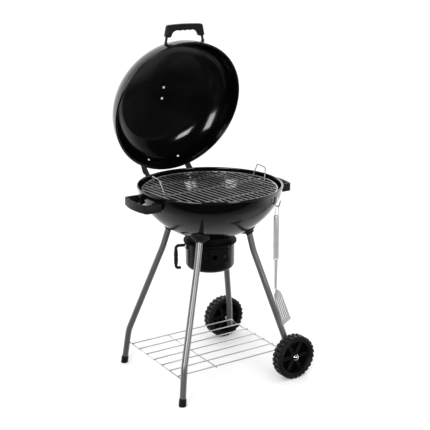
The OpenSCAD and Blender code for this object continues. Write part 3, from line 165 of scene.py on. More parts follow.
class Recipe(Nodes):
    """A material that is being mixed."""

    def __init__(self, name: str) -> None:
        """Start an empty material with that name."""
        self.material = bpy.data.materials.new(name)
        super().__init__(self.material)

    def place(self, stretch: Point = (1, 1, 1)) -> Wire:
        """Object coordinates, scaled along each axis."""
        where = self.add("ShaderNodeTexCoord", out="Object")
        return self.add("ShaderNodeMapping", {}, {"Vector": where, "Scale": stretch})

    def noise(self, size: float, detail: float, stretch: Point = (1, 1, 1)) -> Wire:
        """Cloudy noise.

        Args:
            size: Size of a cloud, in metres.
            detail: Number of finer layers.
            stretch: Scale along each axis.

        Returns:
            The noise, about 0.5.
        """
        sockets = {"Vector": self.place(stretch), "Scale": 1 / size, "Detail": detail}
        return self.add("ShaderNodeTexNoise", {"noise_dimensions": "3D"}, sockets)

    def specks(self, gap: float, share: float) -> Wire:
        """Small round specks.

        Args:
            gap: Distance between specks, in metres.
            share: Radius of a speck as a share of that distance.

        Returns:
            1 in a speck and 0 outside.
        """
        distance = self.add("ShaderNodeTexVoronoi", {}, {"Vector": self.place(), "Scale": 1 / gap})
        return 1 - distance.between(share * 0.5, share)

    def blend(self, factor: Wire, first: Point, second: Point | Wire) -> Wire:
        """Mix two colours.

        Args:
            factor: Share of the second colour.
            first: First colour, linear red, green and blue.
            second: Second colour.

        Returns:
            The mixed colour.
        """
        last = second if isinstance(second, Wire) else (*second, 1.0)
        sockets = {0: factor, 6: (*first, 1.0), 7: last}
        return self.add("ShaderNodeMix", {"data_type": "RGBA"}, sockets, 2)

    def bump(self, height: Wire, depth: float, strength: float) -> Wire:
        """Raise the surface.

        Args:
            height: Height from 0 to 1.
            depth: Height of 1, in metres.
            strength: Share of the effect.

        Returns:
            The normal.
        """
        sockets = {"Height": height, "Distance": depth, "Strength": strength}
        return self.add("ShaderNodeBump", {}, sockets)

    def surface(self, **sockets: object) -> bpy.types.Material:
        """Close the material with a Principled shader.

        Args:
            sockets: Its inputs by name, with underscores for spaces.

        Returns:
            The material.
        """
        inputs = {key.replace("_", " "): value for key, value in sockets.items()}
        shader = self.add("ShaderNodeBsdfPrincipled", {}, inputs)
        self.add("ShaderNodeOutputMaterial", {}, {"Surface": shader})
        return self.material


def grey(level: float, warmth: float = 0.0) -> tuple[float, float, float]:
    """A grey of that level, a little warmer or colder.

    Args:
        level: Linear brightness.
        warmth: Share that red gains and blue loses.

    Returns:
        Linear red, green and blue.
    """
    return level * (1 + warmth), level, level * (1 - warmth)


# ---------------------------------------------------------------- finishes


@dataclass(frozen=True)
class Finish:
    """A surface finish; equal finishes share one material."""

    name: str

    def mix(self) -> bpy.types.Material:
        """Mix the material."""
        raise NotImplementedError

    def material(self) -> bpy.types.Material:
        """The finish's material, mixed on first use."""
        return bpy.data.materials.get(self.name) or self.mix()


@dataclass(frozen=True)
class Enamel(Finish):
    """Fired glossy enamel on steel sheet."""

    level: float = 0.0008
    gloss: float = 0.11
    haze: float = 0.05
    ripple: float = 0.034
    ripple_depth: float = 0.0006
    dust: float = 0.5
    dust_gap: float = 0.021
    dust_level: float = 0.02
    dust_share: float = 0.035
    dust_dulling: float = 0.25
    haze_size: float = 0.16
    haze_range: tuple[float, float] = (0.35, 0.8)
    ripple_share: float = 0.25
    index: float = 1.48

    def mix(self) -> bpy.types.Material:
        """Deep black with the slight ripple of fired glass and a few dust specks."""
        recipe = Recipe(self.name)
        ripple = recipe.noise(self.ripple, detail=2.0)
        haze = recipe.noise(self.haze_size, detail=4.0).between(*self.haze_range)
        dust = recipe.specks(self.dust_gap, self.dust_share)
        return recipe.surface(
            Base_Color=recipe.blend(dust * self.dust, grey(self.level), grey(self.dust_level)),
            Roughness=self.gloss + haze * self.haze + dust * self.dust_dulling,
            IOR=self.index,
            Normal=recipe.bump(ripple, self.ripple_depth, self.ripple_share),
        )


@dataclass(frozen=True)
class Paint(Finish):
    """Baked paint on steel: black, or grey with metal flakes."""

    level: float = 0.018
    metal: float = 0.0
    roughness: float = 0.34
    flake: float = 0.0
    shine: float = 0.3
    peel: float = 0.0022
    flake_size: float = 0.0009
    rub: float = 0.25
    rub_size: float = 0.045
    rub_range: tuple[float, float] = (0.55, 0.85)
    rub_gain: float = 1.25
    rub_lift: float = 0.001
    rub_dulling: float = 0.09
    flake_range: tuple[float, float] = (0.52, 0.7)
    flake_gain: float = 1.7
    flake_polish: float = 0.08
    peel_depth: float = 0.0002
    peel_share: float = 0.2

    def mix(self) -> bpy.types.Material:
        """Even paint with fine peel, flakes where asked, and light rubbing."""
        recipe = Recipe(self.name)
        peel = recipe.noise(self.peel, detail=2.0)
        flakes = recipe.noise(self.flake_size, detail=1.0).between(*self.flake_range)
        rubbed = recipe.noise(self.rub_size, detail=5.0).between(*self.rub_range)
        bright, worn = self.level * self.flake_gain, self.level * self.rub_gain + self.rub_lift
        base = recipe.blend(flakes * self.flake, grey(self.level), grey(bright))
        dull = self.roughness + rubbed * self.rub_dulling
        return recipe.surface(
            Base_Color=recipe.blend(rubbed * self.rub, grey(worn), base),
            Metallic=self.metal,
            Roughness=dull - flakes * self.flake * self.flake_polish,
            Specular_IOR_Level=self.shine,
            Normal=recipe.bump(peel, self.peel_depth, self.peel_share),
        )


@dataclass(frozen=True)
class Moulded(Finish):
    """Moulded black plastic with a fine spark grain."""

    level: float = 0.012
    roughness: float = 0.5
    grain: float = 0.0007
    shine: float = 0.25
    grain_depth: float = 0.00012
    grain_share: float = 0.35
    cloud: float = 0.028
    cloud_range: tuple[float, float] = (0.3, 0.75)
    cloud_dulling: float = 0.12
    scuff: float = 0.35
    scuff_size: float = 0.011
    scuff_stretch: Point = (1.0, 1.0, 0.16)
    scuff_range: tuple[float, float] = (0.62, 0.8)
    scuff_gain: float = 2.6
    scuff_lift: float = 0.004
    scuff_dulling: float = 0.08

    def mix(self) -> bpy.types.Material:
        """Matte black with grain, cloudy sheen and faint scuffs."""
        recipe = Recipe(self.name)
        grain = recipe.noise(self.grain, detail=2.0)
        cloud = recipe.noise(self.cloud, detail=3.0).between(*self.cloud_range)
        scuff = recipe.noise(self.scuff_size, detail=6.0, stretch=self.scuff_stretch)
        scuff = scuff.between(*self.scuff_range)
        scuffed = grey(self.level * self.scuff_gain + self.scuff_lift)
        return recipe.surface(
            Base_Color=recipe.blend(scuff * self.scuff, grey(self.level), scuffed),
            Roughness=self.roughness + cloud * self.cloud_dulling + scuff * self.scuff_dulling,
            Specular_IOR_Level=self.shine,
            Normal=recipe.bump(grain, self.grain_depth, self.grain_share),
        )


class Lay(Enum):
    """Direction in which a metal was brushed, as the stretch of its lines."""

    ALONG_Z = (1.0, 1.0, 0.04)
    NONE = (1.0, 1.0, 1.0)


@dataclass(frozen=True)
class Metal(Finish):
    """Bare or plated metal, drawn, brushed or polished."""

    level: float = 0.6
    roughness: float = 0.22
    lay: Lay = Lay.NONE
    line: float = 0.0012
    depth: float = 0.00003
    depth_share: float = 0.6
    line_dulling: float = 0.16
    stain: float = 0.2
    stain_size: float = 0.03
    stain_range: tuple[float, float] = (0.45, 0.8)
    stain_gain: float = 0.45
    stain_warmth: float = 0.02
    stain_dulling: float = 0.3
    warmth: float = 0.0
    metal: float = 1.0

    def mix(self) -> bpy.types.Material:
        """Metal with brushed lines, and stains that dull it a little."""
        recipe = Recipe(self.name)
        lines = recipe.noise(self.line, detail=4.0, stretch=self.lay.value)
        stains = recipe.noise(self.stain_size, detail=5.0).between(*self.stain_range)
        stained = grey(self.level * self.stain_gain, self.warmth + self.stain_warmth)
        clean = grey(self.level, self.warmth)
        dull = self.roughness + (lines - 0.5) * self.line_dulling
        return recipe.surface(
            Base_Color=recipe.blend(stains * self.stain, clean, stained),
            Metallic=self.metal,
            Roughness=dull + stains * self.stain * self.stain_dulling,
            Normal=recipe.bump(lines, self.depth, self.depth_share),
        )


@dataclass(frozen=True)
class Plated(Metal):
    """Plated wire, too fine for its lines to show."""

    roughness: float = 0.36
    line: float = 0.02
    depth: float = 0.00001


@dataclass(frozen=True)
class Brushed(Metal):
    """Stainless steel, brushed along its length."""

    lay: Lay = Lay.ALONG_Z
    line: float = 0.0011
    stain: float = 0.12


ENAMEL = Enamel("glossy black enamel")
BLACK_PAINT = Paint("semi gloss black paint", level=0.0012, roughness=0.24, shine=0.18)
MATTE_BLACK = Paint("matte black paint", level=0.001, roughness=0.6, shine=0.06)
LEG_PAINT = Paint("grey metallic paint", level=0.15, metal=0.8, flake=0.3, shine=0.5)
PLASTIC = Moulded("matte black plastic", level=0.0025)
TREAD_PLASTIC = Moulded("wheel plastic", level=0.0025, roughness=0.42, grain=0.0011)
# Darker copy of the wheel plastic: painted shade for the disc deep between the spokes.
RECESS_SHADE_PLASTIC = Moulded(
    "recessed wheel plastic", level=0.0008, roughness=0.6, grain=0.0011, shine=0.04
)
PLATED = Plated("plated wire", level=0.48)
LOOP_WIRE = Plated("dull plated wire", level=0.45)
SHELF_WIRE = Plated("plated shelf wire", level=0.62, roughness=0.4, stain=0.15, warmth=0.015)
GRATE_STEEL = Paint("dull grate steel", level=0.0025, roughness=0.7, shine=0.05)
ZINC = Metal("zinc plated steel", level=0.8, roughness=0.3, line=0.0015, warmth=0.01, metal=0.5)
STAINLESS = Brushed("brushed stainless steel", level=0.72, roughness=0.3, metal=0.75)
# Rougher copy of the stainless steel for the blade; its darker colour is painted shade.
SHADED_BLADE_STEEL = Brushed("blasted stainless steel", level=0.27, roughness=0.42, warmth=0.01)
CHROME = Metal("polished chrome", level=0.7, roughness=0.1, line=0.01, depth=0.00001, stain=0.06)


# ---------------------------------------------------------------- modelling bench


# A direction that no rod runs along, to turn a rod's section by.
ASKEW = (0.31, 0.17, 0.93)
# Widest step of a rod's bend, in degrees.
BEND_STEP = 7
# A domed end's two steps: their radii as shares of the rod's, and the first one's length.
DOME_RADII = (0.45, 0.8)
DOME_STEP = 0.35
# Cosine past which a face looks straight along an axis.
LEVEL = 0.99
# Length under which a cross product gives no direction.
NO_LENGTH = 1e-6
# Distances within which points become one, in millimetres.
SAME_POINT = 1e-3
SAME_CORNER = 2e-3


def deselect() -> None:
    """Leave edit mode and select nothing."""
    if bpy.context.mode != "OBJECT":
        bpy.ops.object.mode_set(mode="OBJECT")
    bpy.ops.object.select_all(action="DESELECT")


def in_grill() -> Matrix:
    """Matrix from millimetres about the bowl's axis to the row's metres."""
    return Matrix.Translation(Vector((0, AXIS_Y, 0)) * MM) @ Matrix.Scale(MM, 4)


def moved(x: float = 0.0, y: float = 0.0, z: float = 0.0) -> Matrix:
    """A shift along the three axes."""
    return Matrix.Translation((x, y, z))


def turned(degrees: float, axis: str = "Z") -> Matrix:
    """A turn about an axis, in degrees."""
    return Matrix.Rotation(math.radians(degrees), 4, axis)


def facing(direction: Point, at: Point = (0, 0, 0), up: Point = (0, 0, 1)) -> Matrix:
    """Frame whose Z runs along a direction.

    Args:
        direction: Where Z points.
        at: The frame's origin.
        up: Rough direction of its Y.

    Returns:
        The matrix.
    """
    z_axis = Vector(direction).normalized()
    x_axis = Vector(up).cross(z_axis)
    x_axis = x_axis.normalized() if x_axis.length > NO_LENGTH else Vector((1, 0, 0))
    y_axis = z_axis.cross(x_axis)
    columns = Matrix((x_axis, y_axis, z_axis)).transposed().to_4x4()
    return Matrix.Translation(Vector(at)) @ columns


class Bench:
    """One piece in the making, in millimetres in its own frame."""

    def __init__(self, name: str) -> None:
        """Name the piece that is made next."""
        self.name = name
        self.obj: bpy.types.Object | None = None

    def _edit(self) -> Bench:
        """Open the shape for editing, with all of it selected."""
        bpy.ops.object.mode_set(mode="EDIT")
        bpy.ops.mesh.select_all(action="SELECT")
        return self

    def _activate(self) -> None:
        """Leave edit mode, with this shape alone selected and active."""
        deselect()
        self.obj.select_set(True)
        bpy.context.view_layer.objects.active = self.obj

    def _start(self) -> Bench:
        """Keep the active object as this shape and open it for editing."""
        self.obj = bpy.context.object
        self.obj.name = self.name
        self.obj.data.name = self.name
        bpy.ops.object.mode_set(mode="EDIT")
        bpy.ops.mesh.select_mode(type="VERT")
        bpy.ops.mesh.select_all(action="SELECT")
        return self

    def ring(self, radius: float, sides: int, place: Matrix) -> Bench:
        """Start from a circle.

        Args:
            radius: Its radius.
            sides: Its number of sides.
            place: Frame whose Z is the circle's axis.

        Returns:
            The bench.
        """
        deselect()
        bpy.ops.mesh.primitive_circle_add(vertices=sides, radius=radius)
        bpy.context.object.data.transform(place)
        return self._start()

    def block(self, size: Point, centre: Point) -> Bench:
        """Start from a cube.

        Args:
            size: Its size along each axis.
            centre: Its middle.

        Returns:
            The bench.
        """
        deselect()
        bpy.ops.mesh.primitive_cube_add(size=1)
        shape = Matrix.Translation(Vector(centre)) @ Matrix.Diagonal((*size, 1))
        bpy.context.object.data.transform(shape)
        return self._start()

    def outline(self, points: Sequence[Point], closed: bool = True) -> Bench:
        """Start from one point and draw a line through the others.

        Args:
            points: The line's points.
            closed: Whether the line returns to its start.

        Returns:
            The bench.
        """
        deselect()
        bpy.ops.mesh.primitive_plane_add(size=1, location=(0, 0, 0))
        self._start()
        bpy.ops.mesh.merge(type="CENTER")
        bpy.ops.transform.translate(value=Vector(points[0]))
        route = [Vector(point) for point in points]
        for here, there in zip(route, route[1:] + (route[:1] if closed else [])):
            bpy.ops.mesh.extrude_region_move(TRANSFORM_OT_translate={"value": there - here})
        bpy.ops.mesh.select_all(action="SELECT")
        bpy.ops.mesh.remove_doubles(threshold=SAME_POINT)
        bpy.ops.mesh.select_all(action="SELECT")
        return self

    def shift(self, place: Matrix) -> Bench:
        """Move the whole shape by a matrix."""
        self._activate()
        self.obj.data.transform(place)
        return self._edit()

    def fill(self) -> Bench:
        """Close the selected loop with a face."""
        bpy.ops.mesh.edge_face_add()
        return self

    def extrude(self, step: Point, size: float = 1.0, centre: Point | None = None) -> Bench:
        """Extrude what is selected, and then resize the new end.

        Args:
            step: How far it goes.
            size: Scale of the new end.
            centre: Centre of that scale.

        Returns:
            The bench.
        """
        bpy.ops.mesh.extrude_region_move(TRANSFORM_OT_translate={"value": Vector(step)})
        if size != 1.0:
            bpy.ops.transform.resize(value=(size,) * 3, center_override=Vector(centre or (0, 0, 0)))
        return self

    def spin(self, angle: float, axis: Point, centre: Point, steps: int) -> Bench:
        """Spin what is selected round an axis, by the right hand.

        Args:
            angle: The angle, in radians.
            axis: The axis.
            centre: A point on it.
            steps: Number of steps.

        Returns:
            The bench.
        """
        bpy.ops.mesh.spin(steps=steps, angle=-angle, center=Vector(centre), axis=Vector(axis))
        return self

    def lathe(self, points: Sequence[Point], steps: int, closed: bool = True) -> Bench:
        """Spin a profile of radius and height all round Z.

        Args:
            points: The profile's points.
            steps: Number of steps.
            closed: Whether the profile returns to its start.

        Returns:
            The bench.
        """
        self.outline([(radius, 0, height) for radius, height in points], closed)
        self.spin(TURN, (0, 0, 1), (0, 0, 0), steps)
        return self.merge()

    def plug(self, radius: float, low: float, high: float, sides: int = 32) -> Bench:
        """Turn a plain cylinder on Z, to cut a hole with."""
        return self.lathe([(0, low), (radius, low), (radius, high), (0, high)], sides, closed=False)

    def merge(self) -> Bench:
        """Merge doubles and turn all faces outwards."""
        bpy.ops.mesh.select_all(action="SELECT")
        bpy.ops.mesh.remove_doubles(threshold=SAME_CORNER)
        bpy.ops.mesh.select_all(action="SELECT")
        bpy.ops.mesh.normals_make_consistent(inside=False)
        return self

    def pick(self, kind: str, test: Callable[[Vector, Vector], bool]) -> Bench:
        """Select faces or edges by their place and direction.

        Args:
            kind: FACE or EDGE.
            test: Takes the middle, and the normal or the edge's direction.

        Returns:
            The bench.
        """
        bpy.ops.mesh.select_mode(type=kind)
        bpy.ops.mesh.select_all(action="DESELECT")
        shape = bmesh.from_edit_mesh(self.obj.data)
        if kind == "FACE":
            for face in shape.faces:
                face.select_set(test(face.calc_center_median(), face.normal))
        else:
            for edge in shape.edges:
                first, last = (vert.co for vert in edge.verts)
                edge.select_set(test((first + last) / 2, (last - first).normalized()))
        bmesh.update_edit_mesh(self.obj.data)
        return self

    def bevel(self, width: float, segments: int) -> Bench:
        """Round the selected edges."""
        bpy.ops.mesh.bevel(offset=width, segments=segments, affect="EDGES", clamp_overlap=True)
        return self

    def inset(self, width: float, depth: float = 0.0) -> Bench:
        """Inset the selected faces, and sink them by depth."""
        bpy.ops.mesh.inset(thickness=width, depth=-depth, use_even_offset=True)
        return self

    def modify(self, kind: str, **settings: object) -> Bench:
        """Add a modifier and apply it.

        Args:
            kind: The modifier's type.
            settings: Its properties.

        Returns:
            The bench.
        """
        bpy.ops.object.mode_set(mode="OBJECT")
        bpy.context.view_layer.objects.active = self.obj
        modifier = self.obj.modifiers.new(kind, kind)
        for key, value in settings.items():
            setattr(modifier, key, value)
        bpy.ops.object.modifier_apply(modifier=modifier.name)
        return self._edit()

    def carve(self, tool: Bench) -> Bench:
        """Cut another bench's closed shape out of this one, and drop it."""
        deselect()
        self.modify("BOOLEAN", operation="DIFFERENCE", object=tool.obj, solver="EXACT")
        bpy.data.objects.remove(tool.obj)
        return self

    def copies(self, places: Iterable[Matrix]) -> Bench:
        """Replace the shape by a copy at each place, all in one mesh.

        Args:
            places: Where the copies go.

        Returns:
            The bench.
        """
        deselect()
        made = []
        for place in places:
            twin = self.obj.copy()
            twin.data = self.obj.data.copy()
            twin.data.transform(place)
            bpy.context.collection.objects.link(twin)
            made.append(twin)
        bpy.data.objects.remove(self.obj)
        for twin in made:
            twin.select_set(True)
        bpy.context.view_layer.objects.active = made[0]
        if len(made) > 1:
            bpy.ops.object.join()
        return self._start()

    def join(self, *others: Bench) -> Bench:
        """Take other benches' shapes into this piece."""
        deselect()
        for bench in (*others, self):
            bench.obj.select_set(True)
        bpy.context.view_layer.objects.active = self.obj
        bpy.ops.object.join()
        return self._edit()

    def rod(
        self, points: Sequence[Point], bends: Sequence[float], radius: float,
        sides: int, wall: float = 0.0, dome: float = 0.0,
    ) -> Bench:
        """A rod or tube along corner points, with round bends.

        Args:
            points: Its corner points.
            bends: Bend radius at each inner point.
            radius: Its outer radius.
            sides: Sides of its section.
            wall: Wall of a tube, or 0 for a rod.
            dome: Length of the rounded ends of a rod.

        Returns:
            The bench.
        """
        route = [Vector(point) for point in points]
        heads = [(after - before).normalized() for before, after in zip(route, route[1:])]
        self.ring(radius, sides, facing(heads[0], route[0], ASKEW))
        here = route[0]
        if wall == 0:
            self.fill()
            here = self._dome_start(route[0], heads[0] * dome)
        for index, bend in enumerate(bends):
            before, after = heads[index], heads[index + 1]
            angle = before.angle(after)
            back = bend * math.tan(angle / 2)
            start = route[index + 1] - before * back
            self.extrude(start - here)
            side = (after - after.project(before)).normalized()
            steps = max(3, math.ceil(math.degrees(angle) / BEND_STEP))
            self.spin(angle, before.cross(side), start + side * bend, steps)
            here = route[index + 1] + after * back
        if wall > 0:
            self.extrude(route[-1] - here).merge()
            return self.modify("SOLIDIFY", thickness=wall, offset=-1.0, use_even_offset=True)
        self._dome_end(here, route[-1], heads[-1] * dome)
        return self.fill().merge()

    def _dome_start(self, end: Vector, dome: Vector) -> Vector:
        """Round the rod's first end, and go on to its full section.

        Args:
            end: The rod's first point.
            dome: Length of the rounding along the rod.

        Returns:
            Where the full section begins.
        """
        tip, neck = DOME_RADII
        bpy.ops.transform.resize(value=(tip,) * 3, center_override=end)
        self.extrude(dome * DOME_STEP, neck / tip, end + dome * DOME_STEP)
        self.extrude(dome * (1 - DOME_STEP), 1 / neck, end + dome)
        return end + dome

    def _dome_end(self, here: Vector, end: Vector, dome: Vector) -> None:
        """Go on to the rod's last end, and round it.

        Args:
            here: Where the last section is.
            end: The rod's last point.
            dome: Length of the rounding along the rod.
        """
        tip, neck = DOME_RADII
        self.extrude(end - dome - here)
        self.extrude(dome * (1 - DOME_STEP), neck, end - dome * DOME_STEP)
        self.extrude(dome * DOME_STEP, tip / neck, end)

    def finish(
        self, place: Matrix, finish: Finish, body: str, slot: str,
        stands_for: Sequence[str], smooth: float = 38.0,
    ) -> bpy.types.Object:
        """Put the piece in its place, give it its finish and tie it to its body.

        Args:
            place: Matrix from the piece's frame to the row's metres.
            finish: Its surface.
            body: The body that it rides on.
            slot: Not used.
            stands_for: The nodes that it replaces.
            smooth: Angle below which its edges are smooth, in degrees.

        Returns:
            The finished piece.
        """
        self._activate()
        self.obj.data.transform(place)
        bpy.ops.object.shade_smooth_by_angle(angle=math.radians(smooth))
        self.obj.data.materials.clear()
        self.obj.data.materials.append(finish.material())
        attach(self.obj, body)
        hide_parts(*stands_for)
        LOG.info("%s: %d faces on %s", self.name, len(self.obj.data.polygons), body)
        self.obj.select_set(False)
        return self.obj


def refinish(
    piece: bpy.types.Object, place: Matrix, finish: Finish, test: Callable[[Vector], bool]
) -> None:
    """Give some of a finished piece's faces a second finish; here always a darker copy that stands
    for painted shade.

    Args:
        piece: The finished piece.
        place: Matrix from the piece's frame to the row's metres.
        finish: Their surface.
        test: Takes a face's middle in the piece's frame, and says whether it is one of them.
    """
    back = place.inverted()
    piece.data.materials.append(finish.material())
    for face in piece.data.polygons:
        if test(back @ face.center):
            face.material_index = 1


# ---------------------------------------------------------------- shapes that several pieces share


@dataclass(frozen=True)
class Dish:
    """Section of a pressed dish: straight skirt, round shoulder and flat crown, opening down."""

    radius: float
    skirt: float
    shoulder: float
    depth: float
    steps: int = 18

    @property
    def crown(self) -> float:
        """Radius of the crown's arc, tangent to the shoulder."""
        reach, rise = self.radius - self.shoulder, self.depth - self.skirt
        return (reach**2 + rise**2 - self.shoulder**2) / (2 * (rise - self.shoulder))

    @property
    def turn(self) -> float:
        """Angle from the axis at which the crown becomes the shoulder, in radians."""
        return math.asin((self.radius - self.shoulder) / (self.crown - self.shoulder))

    def at(self, height: float) -> float:
        """Radius of the wall.

        Args:
            height: Height above the rim.

        Returns:
            The radius there.
        """
        rise = height - self.skirt
        if rise <= 0:
            return self.radius
        if rise <= self.shoulder * math.cos(self.turn):
            return self.radius - self.shoulder + math.sqrt(self.shoulder**2 - rise**2)
        return math.sqrt(max(0.0, self.crown**2 - (height - self.depth + self.crown) ** 2))

    def wall(self, grow: float, inner_radius: float, foot: float = 0.0) -> Profile:
        """Points of the wall from its rim to an inner radius.

        Args:
            grow: Distance outside the named size.
            inner_radius: Radius at which the wall ends.
            foot: Start below the rim.

        Returns:
            Radius and height of each point.
        """
        crown, shoulder = self.crown + grow, self.shoulder + grow
        start = 90 - math.degrees(self.turn)
        end = 90 - math.degrees(math.asin(inner_radius / crown))
        bend = arc((self.radius - self.shoulder, self.skirt), shoulder, 0, start, self.steps)
        dome = arc((0, self.depth - self.crown), crown, start, end, self.steps)
        return [(self.radius + grow, -foot), *bend, *dome[1:]]


def arc(centre: Point, radius: float, first: float, last: float, steps: int) -> Profile:
    """Points of a flat arc.

    Args:
        centre: Its centre.
        radius: Its radius.
        first: First angle in degrees.
        last: Last angle in degrees.
        steps: Number of steps.

    Returns:
        The points, both ends among them.
    """
    angles = (math.radians(first + (last - first) * step / steps) for step in range(steps + 1))
    return [(centre[0] + radius * math.cos(at), centre[1] + radius * math.sin(at)) for at in angles]


def on_axis(points: Profile) -> Profile:
    """The points with the last one moved onto the axis."""
    return [*points[:-1], (0.0, points[-1][1])]


def around(count: int, first: float = 0.0) -> list[Matrix]:
    """Turns about Z for a number of copies, the first at an angle in degrees."""
    start = math.radians(first)
    return [Matrix.Rotation(start + TURN * index / count, 4, "Z") for index in range(count)]


def plan_direction(azimuth: float) -> Vector:
    """Level direction of an azimuth in degrees."""
    angle = math.radians(azimuth)
    return Vector((math.cos(angle), math.sin(angle), 0))


def ripple(turns: float) -> float:
    """A wave from 0 up to 1 and back, once in each turn."""
    return (1 - math.cos(TURN * turns)) / 2


def bar(
    name: str, outline: Sequence[Point], low: float, high: float, edge: float, steps: int
) -> Bench:
    """Extrude a flat outline and round both of its rims.

    Args:
        name: The piece's name.
        outline: Points in the plane of X and Y.
        low: Lower face's height.
        high: Upper face's height.
        edge: Radius of the rims.
        steps: Steps of each rim's arc.

    Returns:
        The bench.
    """
    bench = Bench(name).outline([(x, y, low + edge) for x, y in outline])
    bench.fill().extrude((0, 0, high - low - 2 * edge)).merge()
    for sign in (1, -1):
        bench.pick("FACE", lambda middle, normal: normal.z * sign > LEVEL)
        for step in range(1, steps + 1):
            before, after = (math.radians(90 * (step - back) / steps) for back in (1, 0))
            width = edge * (math.cos(before) - math.cos(after))
            bench.inset(width, -edge * (math.sin(after) - math.sin(before)))
    return bench


@dataclass(frozen=True)
class Grill:
    """Sizes that several sub-assemblies share, in millimetres from the bowl's axis."""

    rim_radius: float = 285.0
    rim_height: float = 777.0
    bead: float = 4.5
    bead_arc: tuple[float, float] = (-74.0, 254.0)
    bead_steps: int = 22
    sheet: float = 2.0
    bowl_skirt: float = 6.0
    bowl_shoulder: float = 98.0
    bowl_depth: float = 215.0
    fit: float = 0.4
    lid_bead: float = 4.0
    lid_inset: float = 2.0
    lid_gap: float = 0.5
    lid_skirt: float = 8.0
    lid_shoulder: float = 112.0
    lid_depth: float = 139.0
    lid_open: float = 71.6
    hinge_out: float = 9.0
    hinge_drop: float = 26.0

    @property
    def bowl(self) -> Dish:
        """The bowl's outer section."""
        radius = self.rim_radius - self.bead + self.sheet / 2
        return Dish(radius, self.bowl_skirt, self.bowl_shoulder, self.bowl_depth - self.bead)

    @property
    def bead_height(self) -> float:
        """Height of the middle of the bowl's rolled edge."""
        return self.rim_height - self.bead

    @property
    def lid(self) -> Dish:
        """The lid's outer section."""
        radius = self.rim_radius - self.lid_inset - self.lid_bead + self.sheet / 2
        return Dish(radius, self.lid_skirt, self.lid_shoulder, self.lid_depth)

    @property
    def lid_height(self) -> float:
        """Height of the middle of the shut lid's rolled edge."""
        return self.rim_height + self.lid_gap + self.lid_bead

    def lid_placed(self) -> Matrix:
        """Matrix from the shut lid's millimetres to its open place in the row's metres."""
        out, height = self.rim_radius + self.hinge_out, self.rim_height - self.hinge_drop
        turn = turned(-self.lid_open, "X")
        return in_grill() @ moved(0, out, height) @ turn @ moved(0, -out, -height)

    def bowl_blank(self) -> Bench:
        """Closed solid of the bowl's shape and a little more, to trim what lies against it."""
        wall = self.bowl.wall(self.fit, 0.0, foot=60.0)
        wall = on_axis([(radius, self.bead_height - height) for radius, height in wall])
        return Bench("bowl_blank").lathe([(0.0, wall[0][1]), *wall], steps=96, closed=False)


GRILL = Grill()


# ---------------------------------------------------------------- bowl


@dataclass
class Bowl:
    """The pressed and enamelled bowl with its rolled edge."""

    ash_hole: float = 80.0
    steps: int = 144

    def _side(self, grow: float) -> Profile:
        """One side of the sheet, from the rim to the ash opening."""
        points = GRILL.bowl.wall(grow, self.ash_hole)
        return [(radius, GRILL.bead_height - depth) for radius, depth in points]

    def build(self) -> None:
        """Spin the bowl's section, edge bead and all."""
        outer, inner = self._side(0.0), self._side(-GRILL.sheet)
        centre = (GRILL.rim_radius - GRILL.bead, GRILL.bead_height)
        bead = arc(centre, GRILL.bead, *GRILL.bead_arc, GRILL.bead_steps)
        bench = Bench("bowl_enamelled").lathe(outer[::-1][:-1] + bead + inner[1:], self.steps)
        bench.finish(in_grill(), ENAMEL, "stand", "enamel", ["bowl_shell"], smooth=50)


@dataclass
class SideHandle:
    """A bowed plastic handle on the bowl's side, hollow between its two screw flanges."""

    side: int
    top: float = 752.0
    height: float = 32.0
    width: float = 172.0
    reach: float = 343.0
    bulge: float = 15.0
    band: float = 13.0
    flange: float = 26.0
    flange_depth: float = 6.0
    root: float = 16.0
    rim: float = 3.2
    corner: float = 5.0
    steps: int = 16

    def outline(self) -> Profile:
        """Plan of the band with its two flanges, for the side at +X."""
        half = self.width / 2
        bow = (half**2 + self.bulge**2) / (2 * self.bulge)
        middle = (self.reach - bow, 0.0)
        end = math.degrees(math.asin((half - self.corner) / bow))
        inner_half = half - self.band
        inner_end = math.degrees(math.asin(inner_half / (bow - self.band)))
        wall = GRILL.bowl.radius - self.root
        face = GRILL.bowl.radius + self.flange_depth
        inner_flange = inner_half - self.flange
        outer_arc = arc(middle, bow, -end, end, self.steps)
        tip = outer_arc[-1][0]
        upper = [(tip - 3.5, half - 1.2), (tip - 8, half), (wall, half)]
        slot = arc(middle, bow - self.band, inner_end, -inner_end, self.steps - 2)
        near, far = (math.sqrt(face**2 - y**2) for y in (inner_flange, inner_half))
        first = [(wall, inner_flange), (near, inner_flange), (far, inner_half)]
        last, lower = ([(x, -y) for x, y in reversed(points)] for points in (first, upper))
        return [*outer_arc, *upper, *first, *slot, *last, *lower]

    def build(self) -> None:
        """Extrude the plan, round its rims and trim it to the bowl."""
        hand = "right" if self.side > 0 else "left"
        low = self.top - self.height
        bench = bar(f"side_grip_{hand}", self.outline(), low, self.top, self.rim, steps=3)
        bench.carve(GRILL.bowl_blank())
        place = in_grill() @ turned(0 if self.side > 0 else 180)
        bench.finish(place, PLASTIC, "stand", "plastic", [f"side_handle_{hand}"])


# ---------------------------------------------------------------- lid


